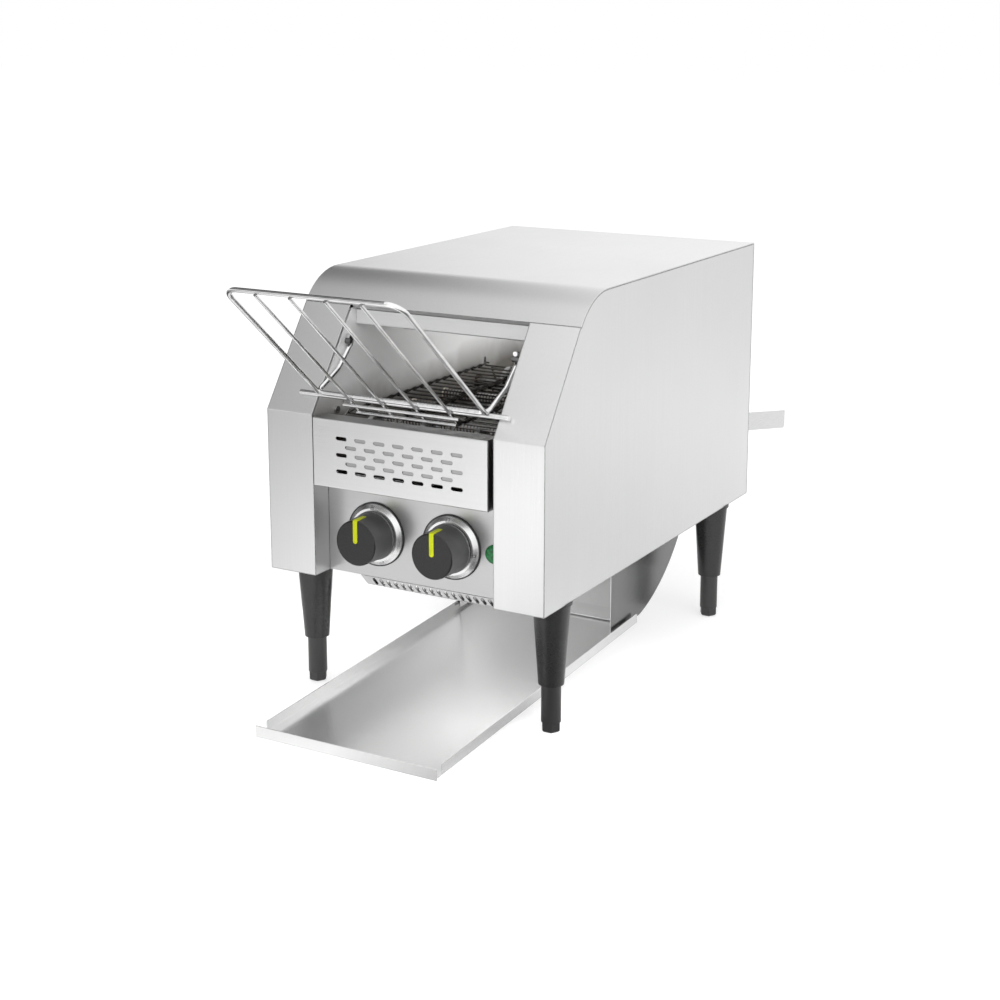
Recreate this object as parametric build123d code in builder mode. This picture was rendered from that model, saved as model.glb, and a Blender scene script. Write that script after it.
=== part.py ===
from build123d import *
import os
from math import asin, atan2, cos, degrees, pi, radians, sin, sqrt, tan

# Conveyor toaster with one lane: a folded stainless case on four adjustable legs, a wire feed rack,
# a wire belt between heaters, and a chute that returns the toast to a tray under the case.
# Millimetres. X is the width, the front faces -Y, +Z is up, and the feet stand on Z = 0.
# "Depth" is a distance behind the face of the front flanges, and "height" is above the floor.

# ---------------------------------------------------------------- driving sizes

# Case
body_width = 288.0
body_depth = 460.0
body_height = 270.0
ground_clearance = 122.5
slope_start = 152.0
slope_angle = 54.6
nose_radius = 64.0
flange_width = 50.0
flange_return = 23.0
hem_width = 12.0
sheet = 1.0
bend_radius = 1.6
seat_gap = 0.3
running_gap = 0.05

# Front
vent_proud = 4.0
vent_height = 63.5
vent_gap = 1.0
vent_side_gap = 3.5
vent_slot = (12.0, 3.5)
vent_slot_pitch = 20.0
vent_row_pitch = 7.6
vent_row_counts = (7, 6, 7, 6, 7)
vent_backing_inset = 38.5
panel_overlap = 14.0
intake_left_inset = 34.0
intake_right_inset = 2.0
intake_drop = 8.0
intake_depth = 5.0
intake_slot = (7.6, 3.0)
intake_slot_pitch = 7.65
intake_plain_length = 20.0
intake_rear_slots = 11

# Controls
knob_rise = 41.5
speed_x = -42.0
lamp_inset = 12.0
lamp_step = 44.0
knob_diameter = 44.0
knob_length = 29.0
knob_taper = 1.0
knob_collar = 0.7
dial_diameter = 58.0
dial_top_diameter = 50.0
dial_thickness = 3.4
gasket_thickness = 1.5
pointer_width = 4.4
pointer_thickness = 1.0
pointer_side = 15.0
spindle_diameter = 6.0
bush_diameter = 9.0
control_body_diameter = 26.0
control_body_length = 18.0
switch_body_size = 34.0
lens_diameter = 17.4
lens_proud = 3.4

# Toasting chamber
chamber_floor_rise = 91.5
chamber_roof_drop = 28.5
front_axle_depth = 45.0
axle_rise = 127.5
axle_diameter = 10.0
heater_diameter = 10.0
heater_share = 0.238
upper_reflector_drop = 4.0
upper_heater_drop = 14.0
lower_reflector_drop = 10.0
hearth_inset = 40.0
cap_diameter = 14.0
header_depth = 73.0
header_drop = 15.0

# Belt and drive
belt_pitch = 14.0
belt_teeth = 8
belt_side_gap = 9.0
belt_wire = 1.9
belt_column = 28.0
belt_loop_width = 6.0
sprocket_width = 5.0
chain_pitch = 9.525
axle_teeth = 13
motor_teeth = 9
chain_side_gap = 18.0
motor_clear = 72.0
motor_rise = 49.5
motor_size = 58.0
motor_length = 42.0
gearbox_length = 36.0
motor_shaft_diameter = 8.0

# Chute and tray
drop_back_inset = 18.0
drop_length = 140.0
chute_side_gap = 6.0
chute_back_inset = 23.0
chute_top_drop = 22.0
chute_radius = 177.0
chute_reach = 164.5
chute_low_point = 15.3
chute_end_reach = 150.0
chute_bend_reach = 122.0
chute_middle_reach = 62.0
tray_side_gap = 2.0
tray_front_depth = -96.0
tray_overlap = 13.0
tray_slope = 2.4
tray_wall = 10.0
tray_lip = 10.5
tray_notch = 13.0

# Feed rack
rack_wire = 4.4
rack_fine_wire = 3.0
rack_rod = 5.0
rack_rod_overhang = 14.5
rack_rest_distance = 19.4
rack_shift = -3.5
rack_angle = 40.5
rack_length = 173.0
rack_side_gap = 7.4
rack_corner = 14.0
rack_fine_spacing = 34.5
rack_fine_count = 4
rack_tail = 20.0
arm_side_gap = 6.0
peg_depth = 56.0
peg_drop = 31.0
peg_diameter = 5.0

# Legs
leg_inset = 17.0
front_leg_depth = 46.0
rear_leg_inset = 57.0
leg_top_diameter = 34.0
leg_bottom_diameter = 23.5
leg_bottom_height = 45.0
foot_diameter = 18.0
foot_travel = 20.0
stud_diameter = 8.0

# Back
spacer_length = 108.0
spacer_height = 19.5
spacer_droop = 10.0
spacer_rise = 88.5
gland_diameter = 20.0
gland_inset = 48.0
gland_rise = 37.5
louvre_size = (64.0, 4.0)
louvre_pitch = 11.0
louvre_count = 9

# ---------------------------------------------------------------- places worked out from them

slope = radians(slope_angle)
body_top = ground_clearance + body_height
slope_foot = ground_clearance + slope_start
slope_run = (body_top - slope_foot) / tan(slope)
nose_setback = nose_radius * tan(slope / 2)
seam_distance = slope_run / cos(slope) - nose_setback
nose_depth = slope_run + nose_setback
half_body = body_width / 2
flange_inner = half_body - flange_width
cover_drop = sheet + seat_gap
shell_depth = body_depth - cover_drop
pan_height = ground_clearance + cover_drop

vent_width = 2 * (flange_inner - vent_side_gap)
vent_top = slope_foot - vent_gap
vent_bottom = vent_top - vent_height
knob_height = ground_clearance + knob_rise
lamp_x = flange_inner - lamp_inset
heat_x = lamp_x - lamp_step
intake_left = intake_left_inset - flange_inner
intake_right = flange_inner - intake_right_inset

drop_back = body_depth - drop_back_inset
drop_front = drop_back - drop_length
chamber_half_width = flange_inner
chamber_floor_height = ground_clearance + chamber_floor_rise
chamber_roof_height = body_top - chamber_roof_drop
axle_height = ground_clearance + axle_rise
belt_pitches_between_axles = int((drop_front - front_axle_depth) / belt_pitch)
rear_axle_depth = front_axle_depth + belt_pitch * belt_pitches_between_axles
heater_pitch = heater_share * (rear_axle_depth - front_axle_depth)
heater_depths = [(front_axle_depth + rear_axle_depth) / 2 + step * heater_pitch for step in (-1, 0, 1)]
upper_reflector_height = chamber_roof_height - upper_reflector_drop
upper_heater_height = upper_reflector_height - upper_heater_drop
lower_reflector_height = axle_height - lower_reflector_drop
belt_half_width = chamber_half_width - belt_side_gap
chain_x = chamber_half_width + chain_side_gap
motor_depth = drop_front - motor_clear
motor_height = ground_clearance + motor_rise

chute_half_width = chamber_half_width - chute_side_gap
chute_back_depth = body_depth - chute_back_inset
chute_top_height = axle_height - chute_top_drop
chute_centre = (chute_back_depth - chute_reach, chute_radius + chute_low_point)
chute_end_depth = chute_back_depth - chute_end_reach
chute_bend = chute_back_depth - chute_bend_reach
chute_middle = chute_back_depth - chute_middle_reach
tray_half_width = chamber_half_width - tray_side_gap
tray_back_depth = chute_end_depth + tray_overlap

rack_half_width = chamber_half_width - rack_side_gap
rack_rod_length = 2 * (chamber_half_width + rack_rod_overhang)
arm_x = chamber_half_width - arm_side_gap
peg_height = chamber_roof_height - peg_drop
leg_x = half_body - leg_inset
rear_leg_depth = body_depth - rear_leg_inset
spacer_root_height = ground_clearance + spacer_rise
gland_x = gland_inset - half_body
gland_height = ground_clearance + gland_rise

rack_pitch = radians(rack_angle)
rod_lift = rack_rod / 2 + seat_gap
rod_depth = rack_rest_distance * cos(slope) - rod_lift * sin(slope)
rod_height = slope_foot + rack_rest_distance * sin(slope) + rod_lift * cos(slope)
weld_sink = 0.2
bar_step = (rack_rod + rack_wire) / 2 - weld_sink
bar_angle = 39.0
bar_rise = radians(bar_angle)
bar_depth = rod_depth - bar_step * cos(bar_rise)
bar_height = rod_height + bar_step * sin(bar_rise)
rack_reach = rack_length * cos(rack_pitch) - bar_depth + rack_wire / 2

front_y = (rack_reach - body_depth - spacer_length) / 2


def at(depth, height):
    """Point of a side plane at a depth behind the front flanges and a height above the floor."""
    return (front_y + depth, height)


def on_slope(distance, lift=0.0):
    """Point of a side plane up the slanted front, lifted off its skin."""
    depth = distance * cos(slope) - lift * sin(slope)
    return at(depth, slope_foot + distance * sin(slope) + lift * cos(slope))


def side_plane(x):
    """Upright plane across the width, drawn in depth and height."""
    return Plane.YZ.offset(x)


def front_plane(depth):
    """Upright plane that faces the front, drawn in X and height."""
    return Plane(origin=(0, front_y + depth, 0), x_dir=(1, 0, 0), z_dir=(0, -1, 0))


def level(height):
    """Level plane, drawn in X and Y."""
    return Plane.XY.offset(height)


def save(solid, name):
    """Label a finished piece and write it as its own file."""
    solid.label = name
    export_step(solid, f"parts/{name}.step")


def sheet_profile(x, points, radius=bend_radius, inside=Side.RIGHT):
    """Section of a sheet folded along points of a side plane, with its skin on the points."""
    with BuildSketch(side_plane(x)) as section:
        with BuildLine():
            FilletPolyline(*points, radius=radius)
            offset(amount=sheet, side=inside)
        make_face()
    return section.sketch


def mirrored(solid, name):
    """The left-hand twin of a right-hand piece."""
    with BuildPart() as twin:
        add(solid)
        mirror(about=Plane.YZ, mode=Mode.REPLACE)
    save(twin.part, name)


os.makedirs("parts", exist_ok=True)

# ---------------------------------------------------------------- case

screw_head = 7.0
screw_head_height = 2.2
screw_shank = 3.8
screw_hole = 4.4
screw_length = 6.0
case_screw_inset = 30.0
case_screw_x = half_body - hem_width / 2 - sheet / 2
case_screw_rows = (ground_clearance + case_screw_inset, ground_clearance + body_height / 2,
                   body_top - case_screw_inset)

with BuildPart() as right_side_panel:
    # Wall, with its nose and top lowered to lie under the cover
    with BuildSketch(side_plane(half_body - sheet)):
        with BuildLine():
            Polyline(at(0, ground_clearance), at(0, slope_foot), on_slope(seam_distance - seat_gap),
                     on_slope(seam_distance - seat_gap, -cover_drop),
                     on_slope(seam_distance, -cover_drop))
            CenterArc(at(nose_depth, body_top - nose_radius), nose_radius - cover_drop,
                      90 + slope_angle, -slope_angle)
            Polyline(at(nose_depth, body_top - cover_drop), at(shell_depth, body_top - cover_drop),
                     at(shell_depth, ground_clearance), at(0, ground_clearance))
        make_face()
    extrude(amount=sheet)
    # Front and slanted flanges
    extrude(sheet_profile(flange_inner, [at(0, ground_clearance), at(0, slope_foot),
                                         on_slope(seam_distance - seat_gap)]),
            amount=flange_width)
    # Return beside the recessed controls
    with BuildSketch(level(ground_clearance)):
        with Locations((flange_inner + sheet / 2, front_y + flange_return / 2)):
            Rectangle(sheet, flange_return)
    extrude(amount=vent_bottom - ground_clearance)
    # Hems along the underside, the back and the roof
    extrude(sheet_profile(half_body - hem_width,
                          [at(sheet, ground_clearance), at(shell_depth, ground_clearance),
                           at(shell_depth, body_top - cover_drop),
                           at(nose_depth, body_top - cover_drop)], inside=Side.LEFT),
            amount=hem_width)
    # Screw holes in the hem along the back
    with BuildSketch(front_plane(shell_depth - sheet)):
        with Locations(*[(case_screw_x, row) for row in case_screw_rows]):
            Circle(screw_hole / 2)
    extrude(amount=-sheet, mode=Mode.SUBTRACT)

save(right_side_panel.part, "right_side_panel")
mirrored(right_side_panel.part, "left_side_panel")

cover_lip = 7.0

with BuildPart() as top_cover:
    # Skin over the nose and roof, flush with the slanted flanges
    with BuildSketch(side_plane(-half_body)):
        with BuildLine():
            CenterArc(at(nose_depth, body_top - nose_radius), nose_radius,
                      90 + slope_angle, -slope_angle)
            Line(at(nose_depth, body_top), at(body_depth, body_top))
            offset(amount=sheet, side=Side.RIGHT)
        make_face()
    extrude(amount=body_width)
    # Lip folded in over the opening
    with BuildSketch(side_plane(-flange_inner + seat_gap)):
        with BuildLine():
            Polyline(on_slope(seam_distance), on_slope(seam_distance, -cover_lip),
                     on_slope(seam_distance + sheet, -cover_lip), on_slope(seam_distance + sheet),
                     on_slope(seam_distance))
        make_face()
    extrude(amount=2 * (flange_inner - seat_gap))

save(top_cover.part, "top_cover")

louvre_drop = 85.0
louvre_gap = 16.0
louvre_centre = body_top - louvre_drop

with BuildPart() as rear_panel:
    with BuildSketch(front_plane(body_depth - sheet)):
        with BuildLine():
            Polyline((-half_body, ground_clearance), (half_body, ground_clearance),
                     (half_body, body_top - cover_drop), (-half_body, body_top - cover_drop),
                     (-half_body, ground_clearance))
        make_face()
        with Locations((0, louvre_centre)):
            with GridLocations(louvre_size[0] + louvre_gap, louvre_pitch, 2, louvre_count):
                SlotOverall(*louvre_size, mode=Mode.SUBTRACT)
        with Locations((gland_x, gland_height)):
            Circle(gland_diameter / 2 + seat_gap, mode=Mode.SUBTRACT)
        with Locations(*[(side * case_screw_x, row) for side in (-1, 1) for row in case_screw_rows]):
            Circle(screw_hole / 2, mode=Mode.SUBTRACT)
    extrude(amount=-sheet)

save(rear_panel.part, "rear_panel")

pan_half_width = half_body - sheet - seat_gap
pan_front = flange_return + 2 * seat_gap + sheet
pan_back = shell_depth - sheet - seat_gap
pan_rim = 9.0
leg_places = [(side * leg_x, front_y + depth) for depth in (front_leg_depth, rear_leg_depth)
              for side in (-1, 1)]

with BuildPart() as base_pan:
    # Pan folded up along its front and back
    extrude(sheet_profile(-pan_half_width,
                          [at(pan_front, pan_height + pan_rim), at(pan_front, pan_height),
                           at(pan_back, pan_height), at(pan_back, pan_height + pan_rim)],
                          inside=Side.LEFT),
            amount=2 * pan_half_width)
    # Way out for the toast, and holes for the leg studs
    with BuildSketch(level(pan_height)):
        with Locations((0, front_y + (drop_front + drop_back) / 2)):
            Rectangle(2 * (chamber_half_width - seat_gap), drop_back - drop_front)
        with Locations(*leg_places):
            Circle(stud_diameter / 2 + seat_gap)
    extrude(amount=sheet, mode=Mode.SUBTRACT)

save(base_pan.part, "base_pan")

# ---------------------------------------------------------------- front

panel_depth = flange_return + seat_gap
panel_top = vent_bottom - seat_gap
panel_ledge = 12.0
knob_places = [(speed_x, knob_height), (heat_x, knob_height)]
lamp_bore = 14.0

with BuildPart() as control_panel:
    extrude(sheet_profile(0, [at(panel_depth, ground_clearance + seat_gap), at(panel_depth, panel_top),
                              at(panel_depth + panel_ledge, panel_top)]),
            amount=flange_inner + panel_overlap, both=True)
    with BuildSketch(front_plane(panel_depth)):
        with Locations(*knob_places):
            Circle(bush_diameter / 2 + seat_gap)
        with Locations((lamp_x, knob_height)):
            Circle(lamp_bore / 2)
        # The ends step up over the hems of the side panels
        with Locations(*[(side * (flange_inner + panel_overlap), ground_clearance) for side in (-1, 1)]):
            Rectangle(2 * (panel_overlap - seat_gap), 2 * (sheet + 2 * seat_gap))
    extrude(amount=-sheet, mode=Mode.SUBTRACT)

save(control_panel.part, "control_panel")

vent_ledge = 19.0
vent_foot = flange_return + seat_gap + sheet
vent_side = 14.0
vent_middle = (vent_top + vent_bottom) / 2
vent_rows = [vent_middle + (row - (len(vent_row_counts) - 1) / 2) * vent_row_pitch
             for row in range(len(vent_row_counts))]
backing_left = vent_backing_inset - flange_inner
backing_right = vent_width / 2 - 3
backing_bottom = vent_rows[0] + vent_row_pitch / 2
backing_top = vent_top - 4

with BuildPart() as front_vent_panel:
    extrude(sheet_profile(0, [at(vent_foot, vent_bottom), at(-vent_proud, vent_bottom),
                              at(-vent_proud, vent_top), at(vent_ledge - vent_proud, vent_top)]),
            amount=vent_width / 2, both=True)
    # Returns at both ends
    for side in (-1, 1):
        with BuildSketch(side_plane(side * (vent_width - sheet) / 2)):
            with Locations(at(vent_side / 2 - vent_proud + bend_radius, vent_middle)):
                Rectangle(vent_side, vent_top - vent_bottom)
        extrude(amount=sheet / 2, both=True)
    # Staggered rows of vent slots
    with BuildSketch(front_plane(-vent_proud)):
        for row_height, count in zip(vent_rows, vent_row_counts):
            with Locations((0, row_height)):
                with GridLocations(vent_slot_pitch, 1, count, 1):
                    SlotOverall(*vent_slot)
    extrude(amount=-2 * sheet, mode=Mode.SUBTRACT)
    # Backing plate that closes all but the lowest row and the slots at the left
    with BuildSketch(front_plane(sheet - vent_proud)):
        with Locations(((backing_left + backing_right) / 2, (backing_bottom + backing_top) / 2)):
            Rectangle(backing_right - backing_left, backing_top - backing_bottom)
    extrude(amount=-sheet)

save(front_vent_panel.part, "front_vent_panel")

intake_top = ground_clearance
intake_floor = intake_top - intake_drop
intake_flange = 12.0
intake_front = panel_depth
intake_bend = 1.2
intake_slot_middle = (intake_left + intake_right) / 2 + 1.3
intake_rear_middle = intake_slot_middle - 13.9
intake_slot_count = int((intake_right - intake_left - intake_plain_length) / intake_slot_pitch)
intake_walls = ((intake_front, -45, intake_slot_middle, intake_slot_count),
                (intake_front + intake_depth - sheet, 45, intake_rear_middle, intake_rear_slots))

with BuildPart() as intake_strip:
    # Trough hung under the controls, with a flange under the base pan
    extrude(sheet_profile(intake_left,
                          [at(intake_front, intake_top), at(intake_front, intake_floor),
                           at(intake_front + intake_depth, intake_floor),
                           at(intake_front + intake_depth, intake_top),
                           at(intake_front + intake_depth + intake_flange, intake_top)],
                          radius=intake_bend, inside=Side.LEFT),
            amount=intake_right - intake_left)
    # Ends cut back at 45 degrees
    with BuildSketch(front_plane(0)):
        for end, outward in ((intake_left, -1), (intake_right, 1)):
            with BuildLine():
                Polyline((end, intake_top), (end + outward, intake_top - 1),
                         (end + outward, intake_floor - 1), (end - outward * (intake_drop + 1),
                                                             intake_floor - 1),
                         (end, intake_top))
            make_face()
    extrude(amount=-(intake_front + intake_depth + sheet), mode=Mode.SUBTRACT)
    # Slanted air slots in both walls, crossing each other
    for wall_depth, lean, middle, count in intake_walls:
        with BuildSketch(front_plane(wall_depth)):
            with Locations((middle, intake_top - intake_drop / 2)):
                with GridLocations(intake_slot_pitch, 1, count, 1):
                    SlotOverall(*intake_slot, rotation=lean)
        extrude(amount=-sheet - seat_gap, mode=Mode.SUBTRACT)

save(intake_strip.part, "intake_strip")

# ---------------------------------------------------------------- toasting chamber

axle_places = [at(front_axle_depth, axle_height), at(rear_axle_depth, axle_height)]
heater_places = [at(depth, height) for height in (upper_heater_height, axle_height)
                 for depth in heater_depths]
bush_hole = 16.0
wall_clear = 3.0
wall_back = drop_back - seat_gap
wall_foot = pan_height + sheet + seat_gap
wall_step_depth = drop_front
wall_top_distance = (chamber_roof_height - slope_foot) / sin(slope)
wall_front = 2.0
wall_screw = (38.0, axle_height + 21.7)
wall_slots = [(311.2, axle_height + 20.3, 7.0), (49.3, axle_height + 27.0, 3.6)]
wall_flange = 12.0
wall_flange_front = header_depth + 12.0

with BuildPart() as inner_wall_right:
    with BuildSketch(side_plane(chamber_half_width)):
        with BuildLine():
            Polyline(at(wall_front, chamber_floor_height), at(wall_front, slope_foot),
                     on_slope(wall_top_distance, -wall_clear), at(wall_back, chamber_roof_height),
                     at(wall_back, wall_foot), at(wall_step_depth, wall_foot),
                     at(wall_step_depth, chamber_floor_height), at(wall_front, chamber_floor_height))
        make_face()
        with Locations(*axle_places):
            Circle(bush_hole / 2, mode=Mode.SUBTRACT)
        with Locations(*heater_places):
            Circle(cap_diameter / 2, mode=Mode.SUBTRACT)
        with Locations(at(peg_depth, peg_height)):
            Circle(peg_diameter / 2, mode=Mode.SUBTRACT)
        with Locations(at(*wall_screw)):
            Circle(screw_hole / 2, mode=Mode.SUBTRACT)
        for slot_depth, slot_height, size in wall_slots:
            with Locations(at(slot_depth, slot_height)):
                SlotOverall(size, size * 0.6, rotation=90, mode=Mode.SUBTRACT)
    extrude(amount=sheet)
    # Stiffening flange along the top
    with BuildSketch(level(chamber_roof_height - sheet)):
        with Locations((chamber_half_width + wall_flange / 2,
                        front_y + (wall_flange_front + wall_back) / 2)):
            Rectangle(wall_flange, wall_back - wall_flange_front)
    extrude(amount=sheet)

save(inner_wall_right.part, "inner_wall_right")
mirrored(inner_wall_right.part, "inner_wall_left")

lining_half_width = chamber_half_width - seat_gap
lining_flange = 8.0
flange_margin = 6.0
header_top = chamber_roof_height - 3.0
header_lip = 10.0
header_ledge = 12.0
reflector_front = 98.0
reflector_lip = (8.0, 9.0)
hearth_front = front_axle_depth + hearth_inset
hearth_back = rear_axle_depth - hearth_inset
hearth_lip = 6.0
floor_front = flange_return + 8.0
floor_back = drop_front - 8.0
floor_level = chamber_floor_height + 2.0
floor_lip = 12.0
floor_spout = (6.0, 10.0)
baffle_top = chamber_roof_height - 2.0
baffle_ledge = 4.5


def lining(name, points, flange_from, flange_to, flange_height):
    """A sheet across the chamber, turned down at both sides against the inner walls."""
    with BuildPart() as piece:
        extrude(sheet_profile(0, points), amount=lining_half_width, both=True)
        with BuildSketch(level(flange_height - lining_flange)) as flanges:
            with Locations(*[(side * (lining_half_width - sheet / 2),
                              front_y + (flange_from + flange_to) / 2) for side in (-1, 1)]):
                Rectangle(sheet, flange_to - flange_from)
        extrude(flanges.sketch, amount=lining_flange)
    save(piece.part, name)


lining("header_plate",
       [at(header_depth + header_lip, header_top - header_drop), at(header_depth, header_top - header_drop),
        at(header_depth, header_top), at(header_depth + header_ledge, header_top)],
       header_depth + 4 * sheet, header_depth + header_lip, header_top)
lining("upper_reflector",
       [at(reflector_front - reflector_lip[0], upper_reflector_height - reflector_lip[1]),
        at(reflector_front, upper_reflector_height), at(rear_axle_depth, upper_reflector_height),
        at(rear_axle_depth + reflector_lip[0], upper_reflector_height - reflector_lip[1])],
       reflector_front + flange_margin, rear_axle_depth - flange_margin,
       upper_reflector_height - sheet / 2)
lining("lower_reflector",
       [at(hearth_front - hearth_lip, lower_reflector_height + hearth_lip),
        at(hearth_front, lower_reflector_height), at(hearth_back, lower_reflector_height),
        at(hearth_back + hearth_lip, lower_reflector_height + hearth_lip)],
       hearth_front + flange_margin, hearth_back - flange_margin, lower_reflector_height - sheet / 2)
lining("chamber_floor",
       [at(floor_front, floor_level + floor_lip), at(floor_front, floor_level),
        at(floor_back, floor_level), at(floor_back + floor_spout[0], floor_level - floor_spout[1])],
       floor_front + lining_flange, floor_back - lining_flange, floor_level - sheet / 2)
lining("rear_baffle",
       [at(chute_back_depth, chute_top_height + sheet + seat_gap), at(chute_back_depth, baffle_top),
        at(chute_back_depth + baffle_ledge, baffle_top)],
       chute_back_depth + sheet + seat_gap, chute_back_depth + baffle_ledge, baffle_top - sheet / 2)

# Heater tubes, with ceramic caps in the walls
cap_reach = 24.0
cap_collar = 18.0
cap_collar_thickness = 3.0
cap_end = 2.0
heater_half_length = chamber_half_width + cap_reach - 2 * cap_end


def heater_tubes(name, height):
    """A row of heater tubes across the chamber."""
    with BuildPart() as tubes:
        with BuildSketch(side_plane(0)) as ends:
            with Locations(*[at(depth, height) for depth in heater_depths]):
                Circle(heater_diameter / 2)
        extrude(ends.sketch, amount=heater_half_length, both=True)
    save(tubes.part, name)


heater_tubes("upper_heater_tubes", upper_heater_height)
heater_tubes("lower_heater_tubes", axle_height)

with BuildPart() as right_caps:
    with BuildSketch(side_plane(chamber_half_width - seat_gap)):
        with Locations(*heater_places):
            Circle(cap_diameter / 2 - seat_gap / 2)
    extrude(amount=cap_reach)
    with BuildSketch(side_plane(chamber_half_width + sheet)):
        with Locations(*heater_places):
            Circle(cap_collar / 2)
    extrude(amount=cap_collar_thickness)
    with BuildSketch(side_plane(chamber_half_width - seat_gap)):
        with Locations(*heater_places):
            Circle(heater_diameter / 2 + seat_gap / 2)
    extrude(amount=cap_reach - cap_end, mode=Mode.SUBTRACT)

with BuildPart() as heater_caps:
    add(right_caps.part)
    mirror(about=Plane.YZ)

save(heater_caps.part, "heater_caps")

# ---------------------------------------------------------------- belt

belt_radius = belt_pitch / (2 * sin(pi / belt_teeth))
tooth_angle = 360 / belt_teeth
loop_rise = 1.3 * belt_wire
loop_reach = belt_pitch + belt_wire


def belt_hinges():
    """Centres of the belt's hinge lines, once round both axles, from over the front axle."""
    top = [at(front_axle_depth + step * belt_pitch, axle_height + belt_radius)
           for step in range(belt_pitches_between_axles)]
    back = [at(rear_axle_depth + belt_radius * sin(radians(step * tooth_angle)),
               axle_height + belt_radius * cos(radians(step * tooth_angle)))
            for step in range(belt_teeth // 2)]
    under = [at(rear_axle_depth - step * belt_pitch, axle_height - belt_radius)
             for step in range(belt_pitches_between_axles)]
    front = [at(front_axle_depth - belt_radius * sin(radians(step * tooth_angle)),
                axle_height - belt_radius * cos(radians(step * tooth_angle)))
             for step in range(belt_teeth // 2)]
    return top + back + under + front


def wire_route():
    """One belt wire: straight spans on its own hinge line, and loops that reach over the next."""
    half_loop = belt_loop_width / 2
    route = [(-belt_half_width + half_loop, loop_reach, loop_rise),
             (-belt_half_width, loop_reach, loop_rise), (-belt_half_width, 0, 0)]
    for column in (-belt_column, belt_column):
        route += [(column - half_loop, 0, 0), (column - half_loop, loop_reach, loop_rise),
                  (column + half_loop, loop_reach, loop_rise), (column + half_loop, 0, 0)]
    route += [(belt_half_width, 0, 0), (belt_half_width, loop_reach, loop_rise),
              (belt_half_width - half_loop, loop_reach, loop_rise)]
    return route


with BuildPart() as belt_link:
    with BuildLine() as link_route:
        Polyline(*wire_route())
    with BuildSketch(Plane(origin=link_route.line @ 0, z_dir=link_route.line % 0)):
        RegularPolygon(belt_wire / 2, 6)
    sweep(transition=Transition.RIGHT)

hinges = belt_hinges()
link_frames = []
for here, ahead in zip(hinges, hinges[1:] + hinges[:1]):
    travel = Vector(0, ahead[0] - here[0], ahead[1] - here[1])
    outward = Vector(1, 0, 0).cross(travel)
    link_frames.append(Plane(origin=(0, *here), x_dir=(1, 0, 0), z_dir=outward).location)

conveyor_belt = Compound(children=[copy_link.moved(frame) for frame in link_frames
                                   for copy_link in belt_link.part.solids()])
save(conveyor_belt, "conveyor_belt")

tooth_rise = 1.2
notch_gap = 0.25
sprocket_bore = axle_diameter / 2
hub_radius = 8.0
sprocket_places = (-2 * belt_column, 0.0, 2 * belt_column)


def belt_sprockets(name, axle_depth):
    """Toothed discs whose notches carry the belt's straight spans."""
    with BuildPart() as discs:
        for x in sprocket_places:
            with BuildSketch(side_plane(x)) as disc:
                with Locations(at(axle_depth, axle_height)):
                    Circle(belt_radius + tooth_rise)
                    with PolarLocations(belt_radius, belt_teeth):
                        Circle(belt_wire / 2 + notch_gap, mode=Mode.SUBTRACT)
                    with PolarLocations(belt_radius + tooth_rise, belt_teeth):
                        Rectangle(2 * tooth_rise, belt_wire + 2 * notch_gap, mode=Mode.SUBTRACT)
                    Circle(sprocket_bore, mode=Mode.SUBTRACT)
            extrude(disc.sketch, amount=sprocket_width / 2, both=True)
            with BuildSketch(side_plane(x)) as hub:
                with Locations(at(axle_depth, axle_height)):
                    Circle(hub_radius)
                    Circle(sprocket_bore, mode=Mode.SUBTRACT)
            extrude(hub.sketch, amount=sprocket_width, both=True)
    save(discs.part, name)


belt_sprockets("idler_sprockets", front_axle_depth)
belt_sprockets("drive_sprockets", rear_axle_depth)

bush_flange = 22.0
bush_flange_thickness = 3.0
bush_reach = 7.0
axle_end = chamber_half_width + bush_reach + sheet
drive_tail = 8.0
drive_end = chain_x + drive_tail


def axle(name, axle_depth, right_end):
    """Round axle across the chamber."""
    with BuildPart() as rod:
        with BuildSketch(side_plane(-axle_end)) as end:
            with Locations(at(axle_depth, axle_height)):
                Circle(axle_diameter / 2)
        extrude(end.sketch, amount=axle_end + right_end)
        chamfer(rod.edges().group_by(Axis.X)[0] + rod.edges().group_by(Axis.X)[-1], length=1)
    save(rod.part, name)


axle("idler_shaft", front_axle_depth, axle_end)
axle("drive_shaft", rear_axle_depth, drive_end)

with BuildPart() as right_bushes:
    with BuildSketch(side_plane(chamber_half_width - sheet)):
        with Locations(*axle_places):
            Circle(bush_hole / 2 - running_gap)
    extrude(amount=bush_reach + sheet)
    with BuildSketch(side_plane(chamber_half_width + sheet)):
        with Locations(*axle_places):
            Circle(bush_flange / 2)
    extrude(amount=bush_flange_thickness)
    with BuildSketch(side_plane(chamber_half_width - sheet)):
        with Locations(*axle_places):
            Circle(axle_diameter / 2 + running_gap)
    extrude(amount=bush_reach + sheet, mode=Mode.SUBTRACT)

with BuildPart() as shaft_bushes:
    add(right_bushes.part)
    mirror(about=Plane.YZ)

save(shaft_bushes.part, "shaft_bushes")

# ---------------------------------------------------------------- drive

motor_place = at(motor_depth, motor_height)
drive_place = axle_places[1]
axle_pitch_radius = chain_pitch / (2 * sin(pi / axle_teeth))
motor_pitch_radius = chain_pitch / (2 * sin(pi / motor_teeth))
roller_radius = 2.5
chain_line = atan2(drive_place[1] - motor_place[1], drive_place[0] - motor_place[0])
chain_tooth_width = 2.6
chain_tooth_rise = 0.8
chain_inner_width = 3.2
chain_plate = 0.9
chain_plate_height = 7.0


def polar(centre, radius, angle):
    """Point of a side plane at a radius and an angle in radians round a centre."""
    return (centre[0] + radius * cos(angle), centre[1] + radius * sin(angle))


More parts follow.
